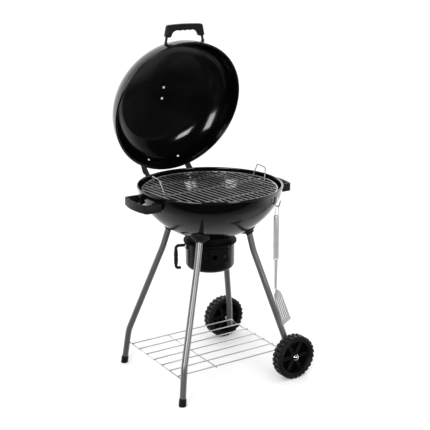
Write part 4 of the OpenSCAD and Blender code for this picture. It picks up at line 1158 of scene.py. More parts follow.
@dataclass
class Lid:
    """The domed lid with its rolled edge and the pressed ring inside it."""

    ring_height: float = 15.0
    ring: float = 1.6
    ring_room: float = 3.0
    pole: float = 0.5
    vent_tilt: float = 1.65764
    vent_pitch: float = 27.0
    vent_hole: float = 9.0
    steps: int = 144

    def crown_place(self) -> Matrix:
        """Frame on the lid's outer surface at the vent, tilted towards the front."""
        dish = GRILL.lid
        low = moved(z=GRILL.lid_height + dish.depth - dish.crown)
        return low @ turned(self.vent_tilt, "X") @ moved(z=dish.crown)

    def _side(self, grow: float) -> Profile:
        """One side of the sheet, from the rim to the axis."""
        points = GRILL.lid.wall(grow, self.pole)
        return on_axis([(radius, GRILL.lid_height + rise) for radius, rise in points])

    def build(self) -> None:
        """Spin the lid's section, and cut its air holes."""
        dish, height = GRILL.lid, GRILL.lid_height
        outer, inner = self._side(0.0), self._side(-GRILL.sheet)
        above = height + self.ring_height
        inner = [point for point in inner if point[1] > above + self.ring_room]
        ring = arc((dish.radius - GRILL.sheet, above), self.ring, 270, 90, 8)
        centre = (dish.radius - GRILL.sheet / 2, height)
        start, end = GRILL.bead_arc
        bead = arc(centre, GRILL.lid_bead, -start, -end, GRILL.bead_steps)
        bench = Bench("lid_enamelled").lathe(outer[::-1][:-1] + bead + ring + inner, self.steps)
        hole = Bench("air_hole").plug(self.vent_hole, low=-20, high=20)
        away = moved(self.vent_pitch)
        hole.copies([self.crown_place() @ turn @ away for turn in around(3)])
        bench.carve(hole)
        place = GRILL.lid_placed()
        bench.finish(place, ENAMEL, "lid", "enamel", ["lid_shell"], smooth=50)


@dataclass
class LidHandle:
    """Moulded grip with finger hollows, its two feet over the steel stems."""

    stem_x: float = 85.0
    lean: float = 12.0
    rise: float = 18.5
    root_height: float = 38.0
    reach: float = 321.0
    radius: float = 13.0
    drop: float = 2.3
    bend: float = 10.5
    foot: float = -37.0
    foot_in: float = 18.0
    foot_out: float = 8.3
    fillet: float = 7.6
    dip: float = 3.5
    rim: float = 7.0
    span: float = 44.0
    hollows: int = 4
    hollow_depth: float = 2.4
    hollow_steps: int = 32

    @property
    def run(self) -> float:
        """Length of a stem's axis, seen from the side."""
        root = math.sqrt(GRILL.lid.at(self.root_height) ** 2 - self.stem_x**2)
        return (self.reach - root) / math.cos(math.radians(self.rise))

    @property
    def half(self) -> float:
        """Half distance between the grip's corners."""
        return self.stem_x - self.run * math.tan(math.radians(self.lean))

    def _beside(self, y: float, out: float) -> float:
        """X at a distance outside the stem's leaning axis, level with y."""
        lean = math.radians(self.lean)
        return self.half - y * math.tan(lean) + out / math.cos(lean)

    def _inner_edge(self) -> Profile:
        """The edge towards the lid, with a shallow hollow for each finger."""
        edge = []
        for step in range(self.hollow_steps + 1):
            depth = self.hollow_depth * ripple(self.hollows * step / self.hollow_steps)
            edge.append((self.span * (2 * step / self.hollow_steps - 1), depth - self.radius))
        return edge

    def _foot(self) -> Profile:
        """The right foot: its dipped inner side, its heel and its rounded toe."""
        fillet, level = self.fillet, self.foot + self.fillet
        knee = Vector((self.span, -self.radius))
        ankle = self._beside(self.foot, -self.foot_in) + fillet
        heel = arc((ankle, level), fillet, 202, 270, 4)
        slope = Vector(heel[0]) - knee
        side = Vector((-slope.y, slope.x)).normalized() * self.dip
        inside = [
            tuple(knee + slope * step / 8 + side * math.sin(math.pi * step / 8))
            for step in range(1, 8)
        ]
        toe = arc((self._beside(level, self.foot_out - fillet), level), fillet, 270, 372, 5)
        return inside + heel + toe

    def outline(self) -> Profile:
        """Plan of the grip: X along it, Y away from the lid."""
        shoulder = self.radius - self.drop - self.bend
        corner = self._beside(shoulder, self.foot_out - self.bend)
        right = self._foot() + arc((corner, shoulder), self.bend, 12, 86, 8)
        arch = []
        for step in range(1, 7):
            share = 1 - step / 6
            arch.append((corner * share, self.radius - self.drop * share**2))
        left = [(-x, y) for x, y in reversed(right + arch[:-1])]
        return self._inner_edge() + right + arch + left

    def build(self) -> None:
        """Extrude the grip's plan, round its rims and set it on the stems."""
        radius, rim = self.radius, self.rim
        bench = bar("lid_grip_moulded", self.outline(), -radius, radius, rim, steps=4)
        angle = math.radians(self.rise)
        outward = Vector((0, -math.cos(angle), math.sin(angle)))
        height = GRILL.lid_height + self.root_height + self.run * math.sin(angle)
        place = facing(Vector((1, 0, 0)).cross(outward), (0, -self.reach, height), outward)
        bench.finish(GRILL.lid_placed() @ place, PLASTIC, "lid", "plastic", ["lid_handle_grip"])


# ---------------------------------------------------------------- legs and their fittings


@dataclass
class Leg:
    """A tube leg with its socket under the bowl."""

    name: str
    side_x: int
    side_y: int
    top: tuple[float, float]
    azimuth: float
    tilts: tuple[float, float, float]
    heights: tuple[float, float, float, float]
    bends: tuple[float, float]
    tube: float = 12.5
    wall: float = 1.5
    room: float = 0.4
    reach: float = 12.0
    mouth: float = 17.6
    flange: float = 36.5
    socket_height: float = 30.0

    def points(self) -> list[Vector]:
        """Corner points of the tube's axis, from its upper end down."""
        out, place, points = 0.0, Vector((*self.top, 0)), []
        away = plan_direction(self.azimuth)
        for index, height in enumerate(self.heights):
            if index:
                fall = self.heights[index - 1] - height
                out += fall * math.tan(math.radians(self.tilts[index - 1]))
            point = place + away * out
            points.append(Vector((point.x * self.side_x, point.y * self.side_y, height)))
        return points

    def build(self) -> None:
        """Bend the tube, and make the flared socket that holds it."""
        points = self.points()
        tube = Bench(f"tube_{self.name}")
        tube.rod(points, self.bends, self.tube, sides=36, wall=self.wall)
        tube.finish(in_grill(), LEG_PAINT, "stand", "leg_steel", [f"leg_{self.name}"])
        self._socket(points[0], (points[0] - points[1]).normalized())

    def _socket(self, top: Vector, upward: Vector) -> None:
        """Turn the socket square to the bowl, where the tube meets it, and bore it for the tube.

        Args:
            top: Upper end of the tube's axis.
            upward: Direction of the axis.
        """
        dish = GRILL.bowl
        centre = Vector((0, 0, GRILL.bead_height - dish.depth + dish.crown))
        away = top - centre
        along = away.dot(upward)
        climb = -along - math.sqrt(along**2 - away.length_squared + dish.crown**2)
        inward = (centre - (top + upward * climb)).normalized()
        low, mouth, flange = -self.reach, self.mouth, self.flange
        # Radius and height: the mouth round the tube, the flare, and the flange at the bowl.
        profile = [
            (0.0, low), (mouth - 2.2, low), (mouth - 1.0, low + 0.6), (mouth - 0.5, low + 1.8),
            (mouth, low + 6.0), (flange - 2.6, 5.6), (flange - 0.5, 7.2), (flange, 8.6),
            (flange, self.socket_height), (0.0, self.socket_height),
        ]
        socket = Bench(f"socket_{self.name}").lathe(profile, steps=64, closed=False)
        socket.shift(facing(inward, top + upward * (climb - self.reach)))
        bore = Bench("bore").plug(self.tube + self.room, low=-60, high=60, sides=48)
        bore.shift(facing(upward, top))
        socket.carve(bore).carve(GRILL.bowl_blank())
        socket.finish(in_grill(), PLASTIC, "stand", "plastic", [f"leg_socket_{self.name}"])


@dataclass
class Feet:
    """Plastic caps on the two foot legs."""

    legs: Sequence[Leg]
    height: float = 30.0
    radius: float = 14.6
    neck: float = 12.0
    rings: int = 4
    ring_start: float = 7.0
    ring_pitch: float = 5.0
    groove: float = 0.6
    floor_gap: float = 0.02

    def _profile(self) -> Profile:
        """Section of a cap from below the floor up, with its grip rings."""
        radius, waist, top = self.radius, self.radius - self.groove, self.height
        profile = [(0.0, -12.0), (radius - 0.2, -12.0)]
        for ring in range(self.rings):
            low = self.ring_start + self.ring_pitch * ring
            profile += [(radius, low), (radius, low + 2.2), (waist, low + 2.9), (waist, low + 4.3)]
        profile += [(radius - 0.9, top - 1.0), (radius - 1.6, top), (self.neck, top), (0.0, top)]
        return profile

    def build(self) -> None:
        """Turn each cap, and cut it level at the floor."""
        for leg in self.legs:
            *_, upper, lower = leg.points()
            axis = (upper - lower).normalized()
            base = lower - axis * (lower.z / axis.z)
            cap = Bench(f"cap_{leg.name}").lathe(self._profile(), steps=40, closed=False)
            cap.shift(facing(axis, base))
            bpy.ops.mesh.bisect(
                plane_co=(0, 0, self.floor_gap), plane_no=(0, 0, 1), clear_inner=True, use_fill=True
            )
            cap.merge()
            row = "rear" if leg.side_y > 0 else "front"
            cap.finish(in_grill(), PLASTIC, "stand", "plastic", [f"foot_cap_{row}"])


# ---------------------------------------------------------------- wheels


@dataclass
class Wheel:
    """A moulded wheel with two rows of lugs and six ribbed spokes, its outer face up."""

    side: int
    axle: tuple[float, float] = (231.63, 89.0)
    face: float = 278.0
    width: float = 46.0
    radius: float = 89.0
    lug: float = 4.5
    lugs: int = 26
    lug_share: float = 0.66
    lug_gap: float = 0.9
    lug_margin: float = 1.6
    lug_root: float = 1.0
    lug_sink: float = 0.06
    lug_taper: tuple[float, float, float] = (1.0, 0.8, 0.9)
    lug_edge: float = 0.9
    ring: float = 66.0
    hub: float = 20.0
    hub_drop: float = 7.0
    spokes: int = 6
    spoke_width: float = 15.0
    spoke_depth: float = 16.0
    spoke_rib: float = 3.0
    spoke_recess: float = 3.2
    spoke_draft: float = 1.0
    spoke_edge: float = 1.6
    spoke_root: float = 4.0
    spoke_tip: float = 2.0
    web: float = 4.0
    # Half width, about the middle plane, of the faces that are darkened as painted shade.
    recess: float = 4.0
    bore: float = 4.2
    cap_gap: float = 0.3
    steps: int = 104

    @property
    def tread(self) -> float:
        """Radius of the tyre between its lugs."""
        return self.radius - self.lug

    @property
    def middle(self) -> float:
        """Height of the wheel's middle plane."""
        return self.width / 2

    @property
    def hub_face(self) -> float:
        """Height of the hub's outer face."""
        return self.width - self.hub_drop

    def _tyre(self, name: str) -> Bench:
        """Spin the rim and tyre with its shoulders and rim groove.

        Args:
            name: The whole wheel's name.

        Returns:
            The bench.
        """
        tread, width, ring, middle = self.tread, self.width, self.ring, self.middle
        # Radius and height: the inner face from the rim's lip out to the tread.
        half = [
            (ring, 5.0), (ring + 1.2, 2.2), (ring + 3.2, 0.8), (ring + 5.0, 0.8),
            (ring + 6.0, 2.0), (ring + 8.0, 2.0), (ring + 9.2, 0.4), (tread - 5.0, 0.0),
            (tread - 2.2, 0.7), (tread - 0.6, 2.2), (tread, 4.5),
        ]
        far_half = [(radius, width - height) for radius, height in reversed(half)]
        seam = [
            (tread, middle - 1.2), (tread - 1.0, middle - 0.6),
            (tread - 1.0, middle + 0.6), (tread, middle + 1.2),
        ]
        inside = [(ring, width - 12), (ring - 1.6, width - 15), (ring - 1.6, 15), (ring, 12)]
        return Bench(name).lathe([*half, *seam, *far_half, *inside], self.steps)

    def _lugs(self) -> list[Bench]:
        """Model one tapered lug for each of two staggered rows, and set it round the tread."""
        length = TURN * self.radius / self.lugs * self.lug_share
        depth = self.lug + self.lug_root
        out = moved(self.tread - self.lug_root + depth / 2 - self.lug_sink)
        rows = (
            (self.lug_margin, self.middle - self.lug_gap),
            (self.middle + self.lug_gap, self.width - self.lug_margin),
        )
        benches = []
        for row, (low, high) in enumerate(rows):
            centre = (low + high) / 2
            lug = Bench(f"lugs_{row}").block((depth, length, high - low), (0, 0, centre))
            lug.pick("FACE", lambda middle, normal: normal.x > LEVEL)
            bpy.ops.transform.resize(value=self.lug_taper, center_override=(depth / 2, 0, centre))
            lug.pick("EDGE", lambda middle, direction: middle.x > 0)
            lug.bevel(self.lug_edge, segments=2)
            turns = around(self.lugs, row * 180 / self.lugs)
            benches.append(lug.copies([turn @ out for turn in turns]))
        return benches

    def _spokes(self) -> Bench:
        """Model one spoke, recessed between its two edge ribs, and set it round the hub."""
        first, last = self.hub - self.spoke_root, self.ring + self.spoke_tip
        size = (last - first, self.spoke_width, self.spoke_depth)
        spoke = Bench("spokes").block(size, ((first + last) / 2, 0, self.middle))
        spoke.pick("EDGE", lambda middle, direction: abs(direction.x) > LEVEL)
        spoke.bevel(self.spoke_edge, segments=2)
        spoke.pick("FACE", lambda middle, normal: abs(normal.z) > LEVEL)
        spoke.inset(self.spoke_rib).inset(self.spoke_draft, self.spoke_recess)
        return spoke.copies(around(self.spokes))

    def _web(self) -> Bench:
        """Spin the closed disc between the spokes, with a low ring near the rim."""
        ring, face = self.ring, self.middle + self.web / 2
        front = [
            (self.hub - 2, face), (ring - 9, face), (ring - 8, face + 1.2),
            (ring - 6, face + 1.2), (ring - 5, face), (ring + 1.0, face),
        ]
        back = [(radius, self.width - height) for radius, height in front]
        return Bench("web").lathe([*front, *back[::-1]], self.steps)

    def _hub(self) -> Bench:
        """Spin the stepped hub with its bore."""
        low, high, hub, width = -2.0, self.hub_face, self.hub, self.width
        # Radius and height, up the outside.
        profile = [
            (self.bore, low), (hub - 6, low), (hub - 5, low + 1), (hub - 5, 11), (hub - 1.2, 12),
            (hub, 13.2), (hub, width - 14), (hub - 1.2, width - 12.8), (hub - 3.4, width - 12.2),
            (hub - 4.2, high - 1), (hub - 5.2, high), (self.bore, high),
        ]
        return Bench("hub").lathe(profile, steps=56)

    def _cap(self, name: str) -> Bench:
        """Spin the domed cap with its rolled flange.

        Args:
            name: The cap's name.

        Returns:
            The bench.
        """
        low = self.hub_face + self.cap_gap
        # Radius and height: up inside the cap, then round its flange to the dome.
        profile = [
            (0.0, low + 9.6), (4.0, low + 8.4), (9.0, low + 5.4), (9.5, low + 3.4), (9.5, low),
            (12.2, low), (13.0, low + 0.5), (13.0, low + 1.6), (12.5, low + 2.2), (12.1, low + 2.4),
        ]
        dome = arc((0, low - 4.0), 14.4, 32, 90, 10)
        return Bench(name).lathe(profile + dome, steps=48, closed=False)

    def build(self) -> None:
        """Join tyre, lugs, spokes and hub, and press the cap on the axle."""
        row = "rear" if self.side > 0 else "front"
        out, height = self.axle
        inner_face = (out, self.side * (self.face - self.width), height)
        place = in_grill() @ facing((0, self.side, 0), inner_face)
        wheel, node = self._tyre(f"wheel_moulded_{row}"), f"wheel_{row}"
        wheel.join(*self._lugs(), self._web(), self._spokes(), self._hub())
        piece = wheel.finish(place, TREAD_PLASTIC, node, "wheel_plastic", [node], smooth=32)
        # The faces deep between the spokes take the darker plastic: painted shade in the recess.
        refinish(piece, place, RECESS_SHADE_PLASTIC, self._in_painted_shade)
        cap = self._cap(f"hub_cap_domed_{row}")
        cap.finish(place, CHROME, "stand", "bright", [f"hub_cap_{row}"], smooth=40)

    def _in_painted_shade(self, at: Vector) -> bool:
        """Whether a face with its middle there lies deep between the spokes' ribs, where painted
        shade goes.
        """
        return abs(at.z - self.middle) < self.recess and at.xy.length < self.ring


# ---------------------------------------------------------------- wire work


@dataclass
class WireGrate:
    """A round grate of bars and cross wires welded in a ring."""

    name: str
    body: str
    node: str
    height: float
    radius: float
    wire: float
    pitch: float
    count: int
    crosses: tuple[float, ...]
    turn: float
    finish: Finish
    slot: str
    ring: float = 3.0
    short: float = 0.0
    bite: float = 0.8
    end_round: float = 0.8

    def _wires(self) -> Iterable[tuple[Vector, Vector]]:
        """Ends of each wire's axis."""
        for index in range(self.count):
            across = (index - (self.count - 1) / 2) * self.pitch
            half = math.sqrt(self.radius**2 - across**2)
            yield Vector((across, -half, 0)), Vector((across, half, 0))
        low = -2 * self.wire + self.bite
        for across in self.crosses:
            half = math.sqrt((self.radius - self.short) ** 2 - across**2)
            yield Vector((-half, across, low)), Vector((half, across, low))

    def build(self) -> None:
        """Bend the ring, cut the wires and weld them."""
        section = arc((self.radius, 0), self.ring, 0, 337.5, 15)
        bench = Bench(self.name).lathe(section, steps=128)
        wires = [
            Bench("wire").rod(ends, [], self.wire, sides=12, dome=self.end_round)
            for ends in self._wires()
        ]
        bench.join(*wires)
        place = in_grill() @ moved(z=self.height) @ turned(self.turn)
        bench.finish(place, self.finish, self.body, self.slot, [self.node])


@dataclass
class GrateHandles:
    """Two upright wire loops on the cooking grate."""

    azimuth: float = -6.0
    foot: float = 214.0
    foot_length: float = 24.0
    lean: float = 14.0
    height: float = 58.0
    width: float = 96.0
    top_width: float = 66.0
    wire: float = 2.0
    base: float = 765.6
    bends: tuple[float, ...] = (6.0, 10.0, 10.0, 6.0)

    def build(self) -> None:
        """Bend each loop from one wire."""
        half, top = self.width / 2, self.top_width / 2
        inner, out = self.foot - self.foot_length, self.foot + self.lean
        base, high = self.base, self.base + self.height
        right = [(inner, half, base), (self.foot, half, base), (out, top, high)]
        points = [(x, -y, z) for x, y, z in right] + right[::-1]
        for hand, turn in (("right", self.azimuth), ("left", self.azimuth + 180)):
            bench = Bench(f"grate_loop_{hand}")
            bench.rod(points, self.bends, self.wire, sides=14, dome=0.8)
            place = in_grill() @ turned(turn)
            bench.finish(place, LOOP_WIRE, "cooking_grate", "plated_wire", [f"grate_handle_{hand}"])


@dataclass
class Shelf:
    """Wire shelf: seven long wires over two side wires and a cross wire."""

    left: float
    right: float
    left_end: float
    right_end: float
    height: float = 94.0
    wire: float = 2.4
    pitch: float = 61.0
    count: int = 7
    overhang: float = 6.0
    cross: float = 170.0
    bite: float = 0.8
    left_inset: float = 3.5
    right_inset: float = 9.0
    end_gap: float = 3.1

    def build(self) -> None:
        """Cut and weld the shelf's wires."""
        low, top = self.height, self.height + 2 * self.wire - self.bite
        half = (self.count - 1) / 2 * self.pitch + self.overhang
        cross = self.left + self.cross
        unders = ((self.left, self.left_end), (self.right, self.right_end), (cross, half))
        lines = [((x, -end, low), (x, end, low)) for x, end in unders]
        start, end = self.left - self.overhang, self.right + self.overhang
        for index in range(self.count):
            y = (index - (self.count - 1) / 2) * self.pitch
            lines.append(((start, y, top), (end, y, top)))
        first, *others = (
            Bench("shelf_wires").rod(line, [], self.wire, sides=14, dome=1.0) for line in lines
        )
        first.join(*others)
        first.finish(in_grill(), SHELF_WIRE, "stand", "plated_wire", ["bottom_shelf"])


# ---------------------------------------------------------------- ash pot


@dataclass
class AshPot:
    """Deep drawn pot with a rolled rim, and its bent bar handle."""

    radius: float = 97.0
    top: float = 549.0
    low: float = 436.0
    corner: float = 24.0
    wall: float = 1.6
    foot_ring: float = 60.0
    foot_rise: float = 1.2
    lip: float = 1.7
    turn: float = -20.5
    air_hole: float = 10.0
    air_height: float = 504.0
    handle_out: float = 137.0
    handle_high: float = 532.0
    handle_low: float = 441.0
    handle_rod: float = 6.0
    handle_bends: tuple[float, float] = (12.0, 9.0)
    handle_tail: float = 20.0
    grip: float = 8.5
    grip_length: float = 64.0
    grip_share: float = 0.94
    grip_drop: float = 2.0
    grip_waves: int = 3
    grip_wave: float = 0.9
    grip_steps: int = 24
    grip_swell: float = 5.0
    grip_start: float = 0.12
    pad: float = 2.95
    pad_span: float = 12.0
    pad_gap: float = 0.35
    pad_below: float = 12.0
    pad_above: float = 10.0
    pad_edge: float = 0.9

    def build(self) -> None:
        """Make the pot and its handle."""
        self._pot()
        self._handle()

    def _grip(self) -> Bench:
        """Turn the finger grip, swelling from the rod's radius with a wave for each finger."""
        rod, half = self.handle_rod, self.grip_length / 2
        profile = [(0.0, -half), (rod, -half)]
        for step in range(self.grip_steps + 1):
            share = step / self.grip_steps
            height = self.grip_length * (share - 0.5) * self.grip_share
            near_end = self.grip_start + min(share, 1 - share) * self.grip_swell
            swell = math.sin(math.pi * min(1.0, near_end) / 2)
            thick = self.grip - rod - self.grip_wave * ripple(self.grip_waves * share)
            profile.append((rod + thick * swell, height))
        profile += [(rod, half), (0.0, half)]
        return Bench("grip").lathe(profile, steps=32, closed=False)

    def _handle(self) -> None:
        """Bend the handle's rod, and join it to its grip and its curved pad."""
        out, high, low, span = self.handle_out, self.handle_high, self.handle_low, self.pad_span
        inner = self.radius + self.pad_gap
        outer = inner + self.pad
        plan = arc((0, 0), outer, -span, span, 10) + arc((0, 0), inner, span, -span, 10)
        bottom, top = high - self.pad_below, high + self.pad_above
        pad = bar("pot_handle_moulded", plan, bottom, top, self.pad_edge, steps=2)
        points = [
            (self.radius + 1.5, 0, high), (out, 0, high),
            (out, 0, low), (out - self.handle_tail, 0, low - 1),
        ]
        rod = Bench("rod").rod(points, self.handle_bends, self.handle_rod, sides=24, dome=2.5)
        grip = self._grip().shift(moved(out, 0, (high + low) / 2 - self.grip_drop))
        place = in_grill() @ turned(self.turn + 180)
        pad.join(rod, grip)
        pad.finish(place, PLASTIC, "ash_pot", "black_steel", ["pot_handle"])

    def _pot(self) -> None:
        """Spin the pot with its bead and foot ring, and cut its air hole."""
        radius, corner, wall, low = self.radius, self.corner, self.wall, self.low
        bend = (radius - corner, low + corner)
        profile = [
            (0.0, low + self.foot_rise), (self.foot_ring - 2.0, low + self.foot_rise),
            (self.foot_ring, low), (radius - corner, low), *arc(bend, corner, -80, 0, 9),
            (radius, self.top - 2 * self.lip),
            *arc((radius + 0.7, self.top - self.lip), self.lip, -60, 90, 6),
            (radius - wall, self.top - 0.4), (radius - wall, low + corner),
            *arc(bend, corner - wall, -10, -90, 8), (0.0, low + wall),
        ]
        pot = Bench("pot_drawn").lathe(profile, steps=96, closed=False)
        hole = Bench("pot_hole").plug(self.air_hole, low=60, high=130)
        hole.shift(facing(plan_direction(self.turn - 90), (0, 0, self.air_height)))
        pot.carve(hole)
        place = in_grill()
        pot.finish(place, BLACK_PAINT, "ash_pot", "black_steel", ["ash_pot"], smooth=40)


# ---------------------------------------------------------------- spatula


@dataclass
class Spatula:
    """Hanging spatula: tube handle, drawn shaft, slotted blade and wire loop."""

    azimuth: float = -60.5
    reach: float = 287.0
    loop_azimuth: float = -5.0
    top: float = 687.0
    grip: float = 177.0
    grip_radius: float = 12.0
    grip_wall: float = 1.4
    roll: float = 2.6
    shaft: float = 116.0
    shaft_radius: float = 7.6
    neck_radius: float = 5.6
    plug: float = 8.0
    blade: float = 141.0
    blade_width: float = 81.0
    shoulder_width: float = 62.0
    tilt: float = 20.6
    sheet: float = 2.0
    edge: float = 0.45
    slots: int = 4
    slot_width: float = 7.0
    slot_top: float = 42.0
    slot_end: float = 18.0
    loop_wire: float = 1.7
    loop_half: float = 7.5
    loop_top: float = 724.25
    loop_root: float = 7.0
    loop_flat: float = 0.5
    # Distance below the neck where the blade's painted shade begins.
    shaded_blade_start: float = 10.0

    @property
    def neck(self) -> float:
        """Height at which the shaft becomes the blade."""
        return self.top - self.grip - self.shaft

    def place(self) -> Matrix:
        """Frame of the hanging spatula: X away from the bowl, Z up."""
        hang = plan_direction(self.azimuth) * self.reach
        return in_grill() @ moved(*hang) @ turned(self.azimuth)

    def build(self) -> None:
        """Make the handle, the loop, and the blade with its shaft."""
        self._grip()
        self._loop()
        self._blade()

    def _grip(self) -> None:
        """Spin the tube with its rolled ends."""
        low, top, radius, roll = self.top - self.grip, self.top, self.grip_radius, self.roll
        # Radius and height: down inside, round the lower edge and its groove, and up outside.
        profile = [
            (0.0, top - 3.0), (radius - 1.3, top - 6.0), (radius - 1.3, low + 1.0),
            (radius - 0.9, low + 0.2), (radius - 0.3, low), (radius, low + 0.7), (radius, low + 6),
            (radius - 0.4, low + 6.6), (radius - 0.4, low + 7.4), (radius, low + 8),
            (radius, top - 4.4), *arc((radius - roll, top - 4.0), roll, 10, 60, 4),
            (6.0, top - 0.7), (0.0, top - 0.02),
        ]
        bench = Bench("spatula_grip").lathe(profile, steps=48, closed=False)
        bench.finish(self.place(), STAINLESS, "spatula", "stainless", ["spatula_handle"])

    def _loop(self) -> None:
        """Bend the hanging loop."""
        half, low, high = self.loop_half, self.top - self.loop_root, self.loop_top
        points = [(-half, 0, low), (-half, 0, high), (half, 0, high), (half, 0, low)]
        bend = half - self.loop_flat
        bench = Bench("spatula_eye").rod(points, [bend] * 2, self.loop_wire, sides=14, dome=0.6)
        place = self.place() @ turned(self.loop_azimuth - self.azimuth)
        bench.finish(place, STAINLESS, "spatula", "stainless", ["spatula_loop"])

    def _plan(self) -> Profile:
        """Half outline of the blade: half width and distance down from its neck."""
        half, shoulder, neck = self.blade_width / 2, self.shoulder_width / 2, self.neck_radius
        return [
            (neck, 0.0), (neck + 1.5, -6.0), (shoulder * 0.55, -15.0), (shoulder * 0.82, -20.5),
            (shoulder - 3, -25.0), (shoulder - 0.6, -30.0), (shoulder, -36.0), (half, -self.blade),
        ]

    def _cut_slots(self, blade: Bench) -> None:
        """Cut the blade's round-ended slots.

        Args:
            blade: The blade, lying flat.
        """
        pitch = (self.shoulder_width - self.slot_width) / self.slots
        width, low, high = self.slot_width / 2, self.slot_end - self.blade, -self.slot_top
        for index in range(self.slots):
            across = (index - (self.slots - 1) / 2) * pitch
            rim = arc((across, high), width, 0, 180, 10) + arc((across, low), width, 180, 360, 10)
            blade.carve(bar("slot", rim, low=-5, high=self.sheet + 5, edge=0.2, steps=1))

    def _blade(self) -> None:
        """Cut the blade, round its edges, slot it and draw its shaft."""
        half = self._plan()
        outline = half + [(-x, y) for x, y in reversed(half)]
        bench = Bench("spatula_blade_slotted").outline([(x, y, 0) for x, y in outline])
        bench.fill().extrude((0, 0, self.sheet)).merge()
        bench.pick("EDGE", lambda middle, direction: abs(direction.z) < 0.2)
        bench.bevel(self.edge, segments=2)
        self._cut_slots(bench)
        upright = Matrix(((0, 0, 1, 0), (1, 0, 0, 0), (0, 1, 0, 0), (0, 0, 0, 1)))
        tilt = turned(-self.tilt, "Y")
        bench.shift(moved(z=self.neck) @ tilt @ upright @ moved(z=-self.sheet / 2))
        inside = self.grip_radius - self.grip_wall
        profile = [
            (0, -3.0), (3.4, -2.4), (5.0, -0.8), (self.neck_radius, 0.6),
            (self.shaft_radius, self.shaft), (inside, self.shaft + 0.4),
            (inside, self.shaft + self.plug), (0, self.shaft + self.plug),
        ]
        bench.join(Bench("shaft").lathe(profile, steps=40, closed=False).shift(moved(z=self.neck)))
        place, low = self.place(), self.neck - self.shaded_blade_start
        piece = bench.finish(place, STAINLESS, "spatula", "stainless", ["spatula_blade"], smooth=30)
        # Below that height the steel takes the darker copy: painted shade on the blade.
        refinish(piece, place, SHADED_BLADE_STEEL, lambda at: at.z < low)


# ---------------------------------------------------------------- parts kept from the model


@dataclass
class Fittings:
    """Brackets, bolts and other small parts that keep their shape and only get their finish."""

    painted: tuple[str, ...] = ("lid_handle_stems", "vent_disc")
    matte: tuple[str, ...] = (
        "bowl_hinge_bracket", "lid_hinge_bracket", "damper_rails",
        "ash_damper", "grate_supports", "ash_collar",
    )
    plastic: tuple[str, ...] = ("leg_plugs", "vent_knob", "damper_knob")
    plated: tuple[str, ...] = ("tool_hook",)

    def dress(self) -> None:
        """Give every node that is kept its finish; bolts and pins are zinc plated."""
        groups = (
            (self.painted, BLACK_PAINT), (self.matte, MATTE_BLACK),
            (self.plastic, PLASTIC), (self.plated, PLATED),
        )
        finishes: dict[str, Finish] = {name: finish for names, finish in groups for name in names}
        for name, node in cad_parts.items():
            finish = finishes.get(name, ZINC)
            node.data.materials.clear()
            node.data.materials.append(finish.material())
            LOG.info("%s keeps its shape, in %s", name, finish.name)


# ---------------------------------------------------------------- studio


@dataclass(frozen=True)
class SoftLight:
    """A rectangular light, in metres and watts, that may shine on one piece only."""

    name: str
    place: tuple[float, float, float]
    aim_height: float
    size: tuple[float, float]
    power: float
    only: str = ""

    def hang(self) -> None:
        """Hang the light, turned to its aim above the origin."""
        data = bpy.data.lights.new(self.name, "AREA")
        data.shape = "RECTANGLE"
        data.size, data.size_y = self.size
        data.energy = self.power
        lamp = bpy.data.objects.new(self.name, data)
        lamp.matrix_world = facing(Vector(self.place) - Vector((0, 0, self.aim_height)), self.place)
        lamp.visible_camera = False
        if self.only:
            lit = bpy.data.collections.new(self.name)
            lit.objects.link(bpy.data.objects[self.only])
            lamp.light_linking.receiver_collection = lit
        bpy.context.collection.objects.link(lamp)


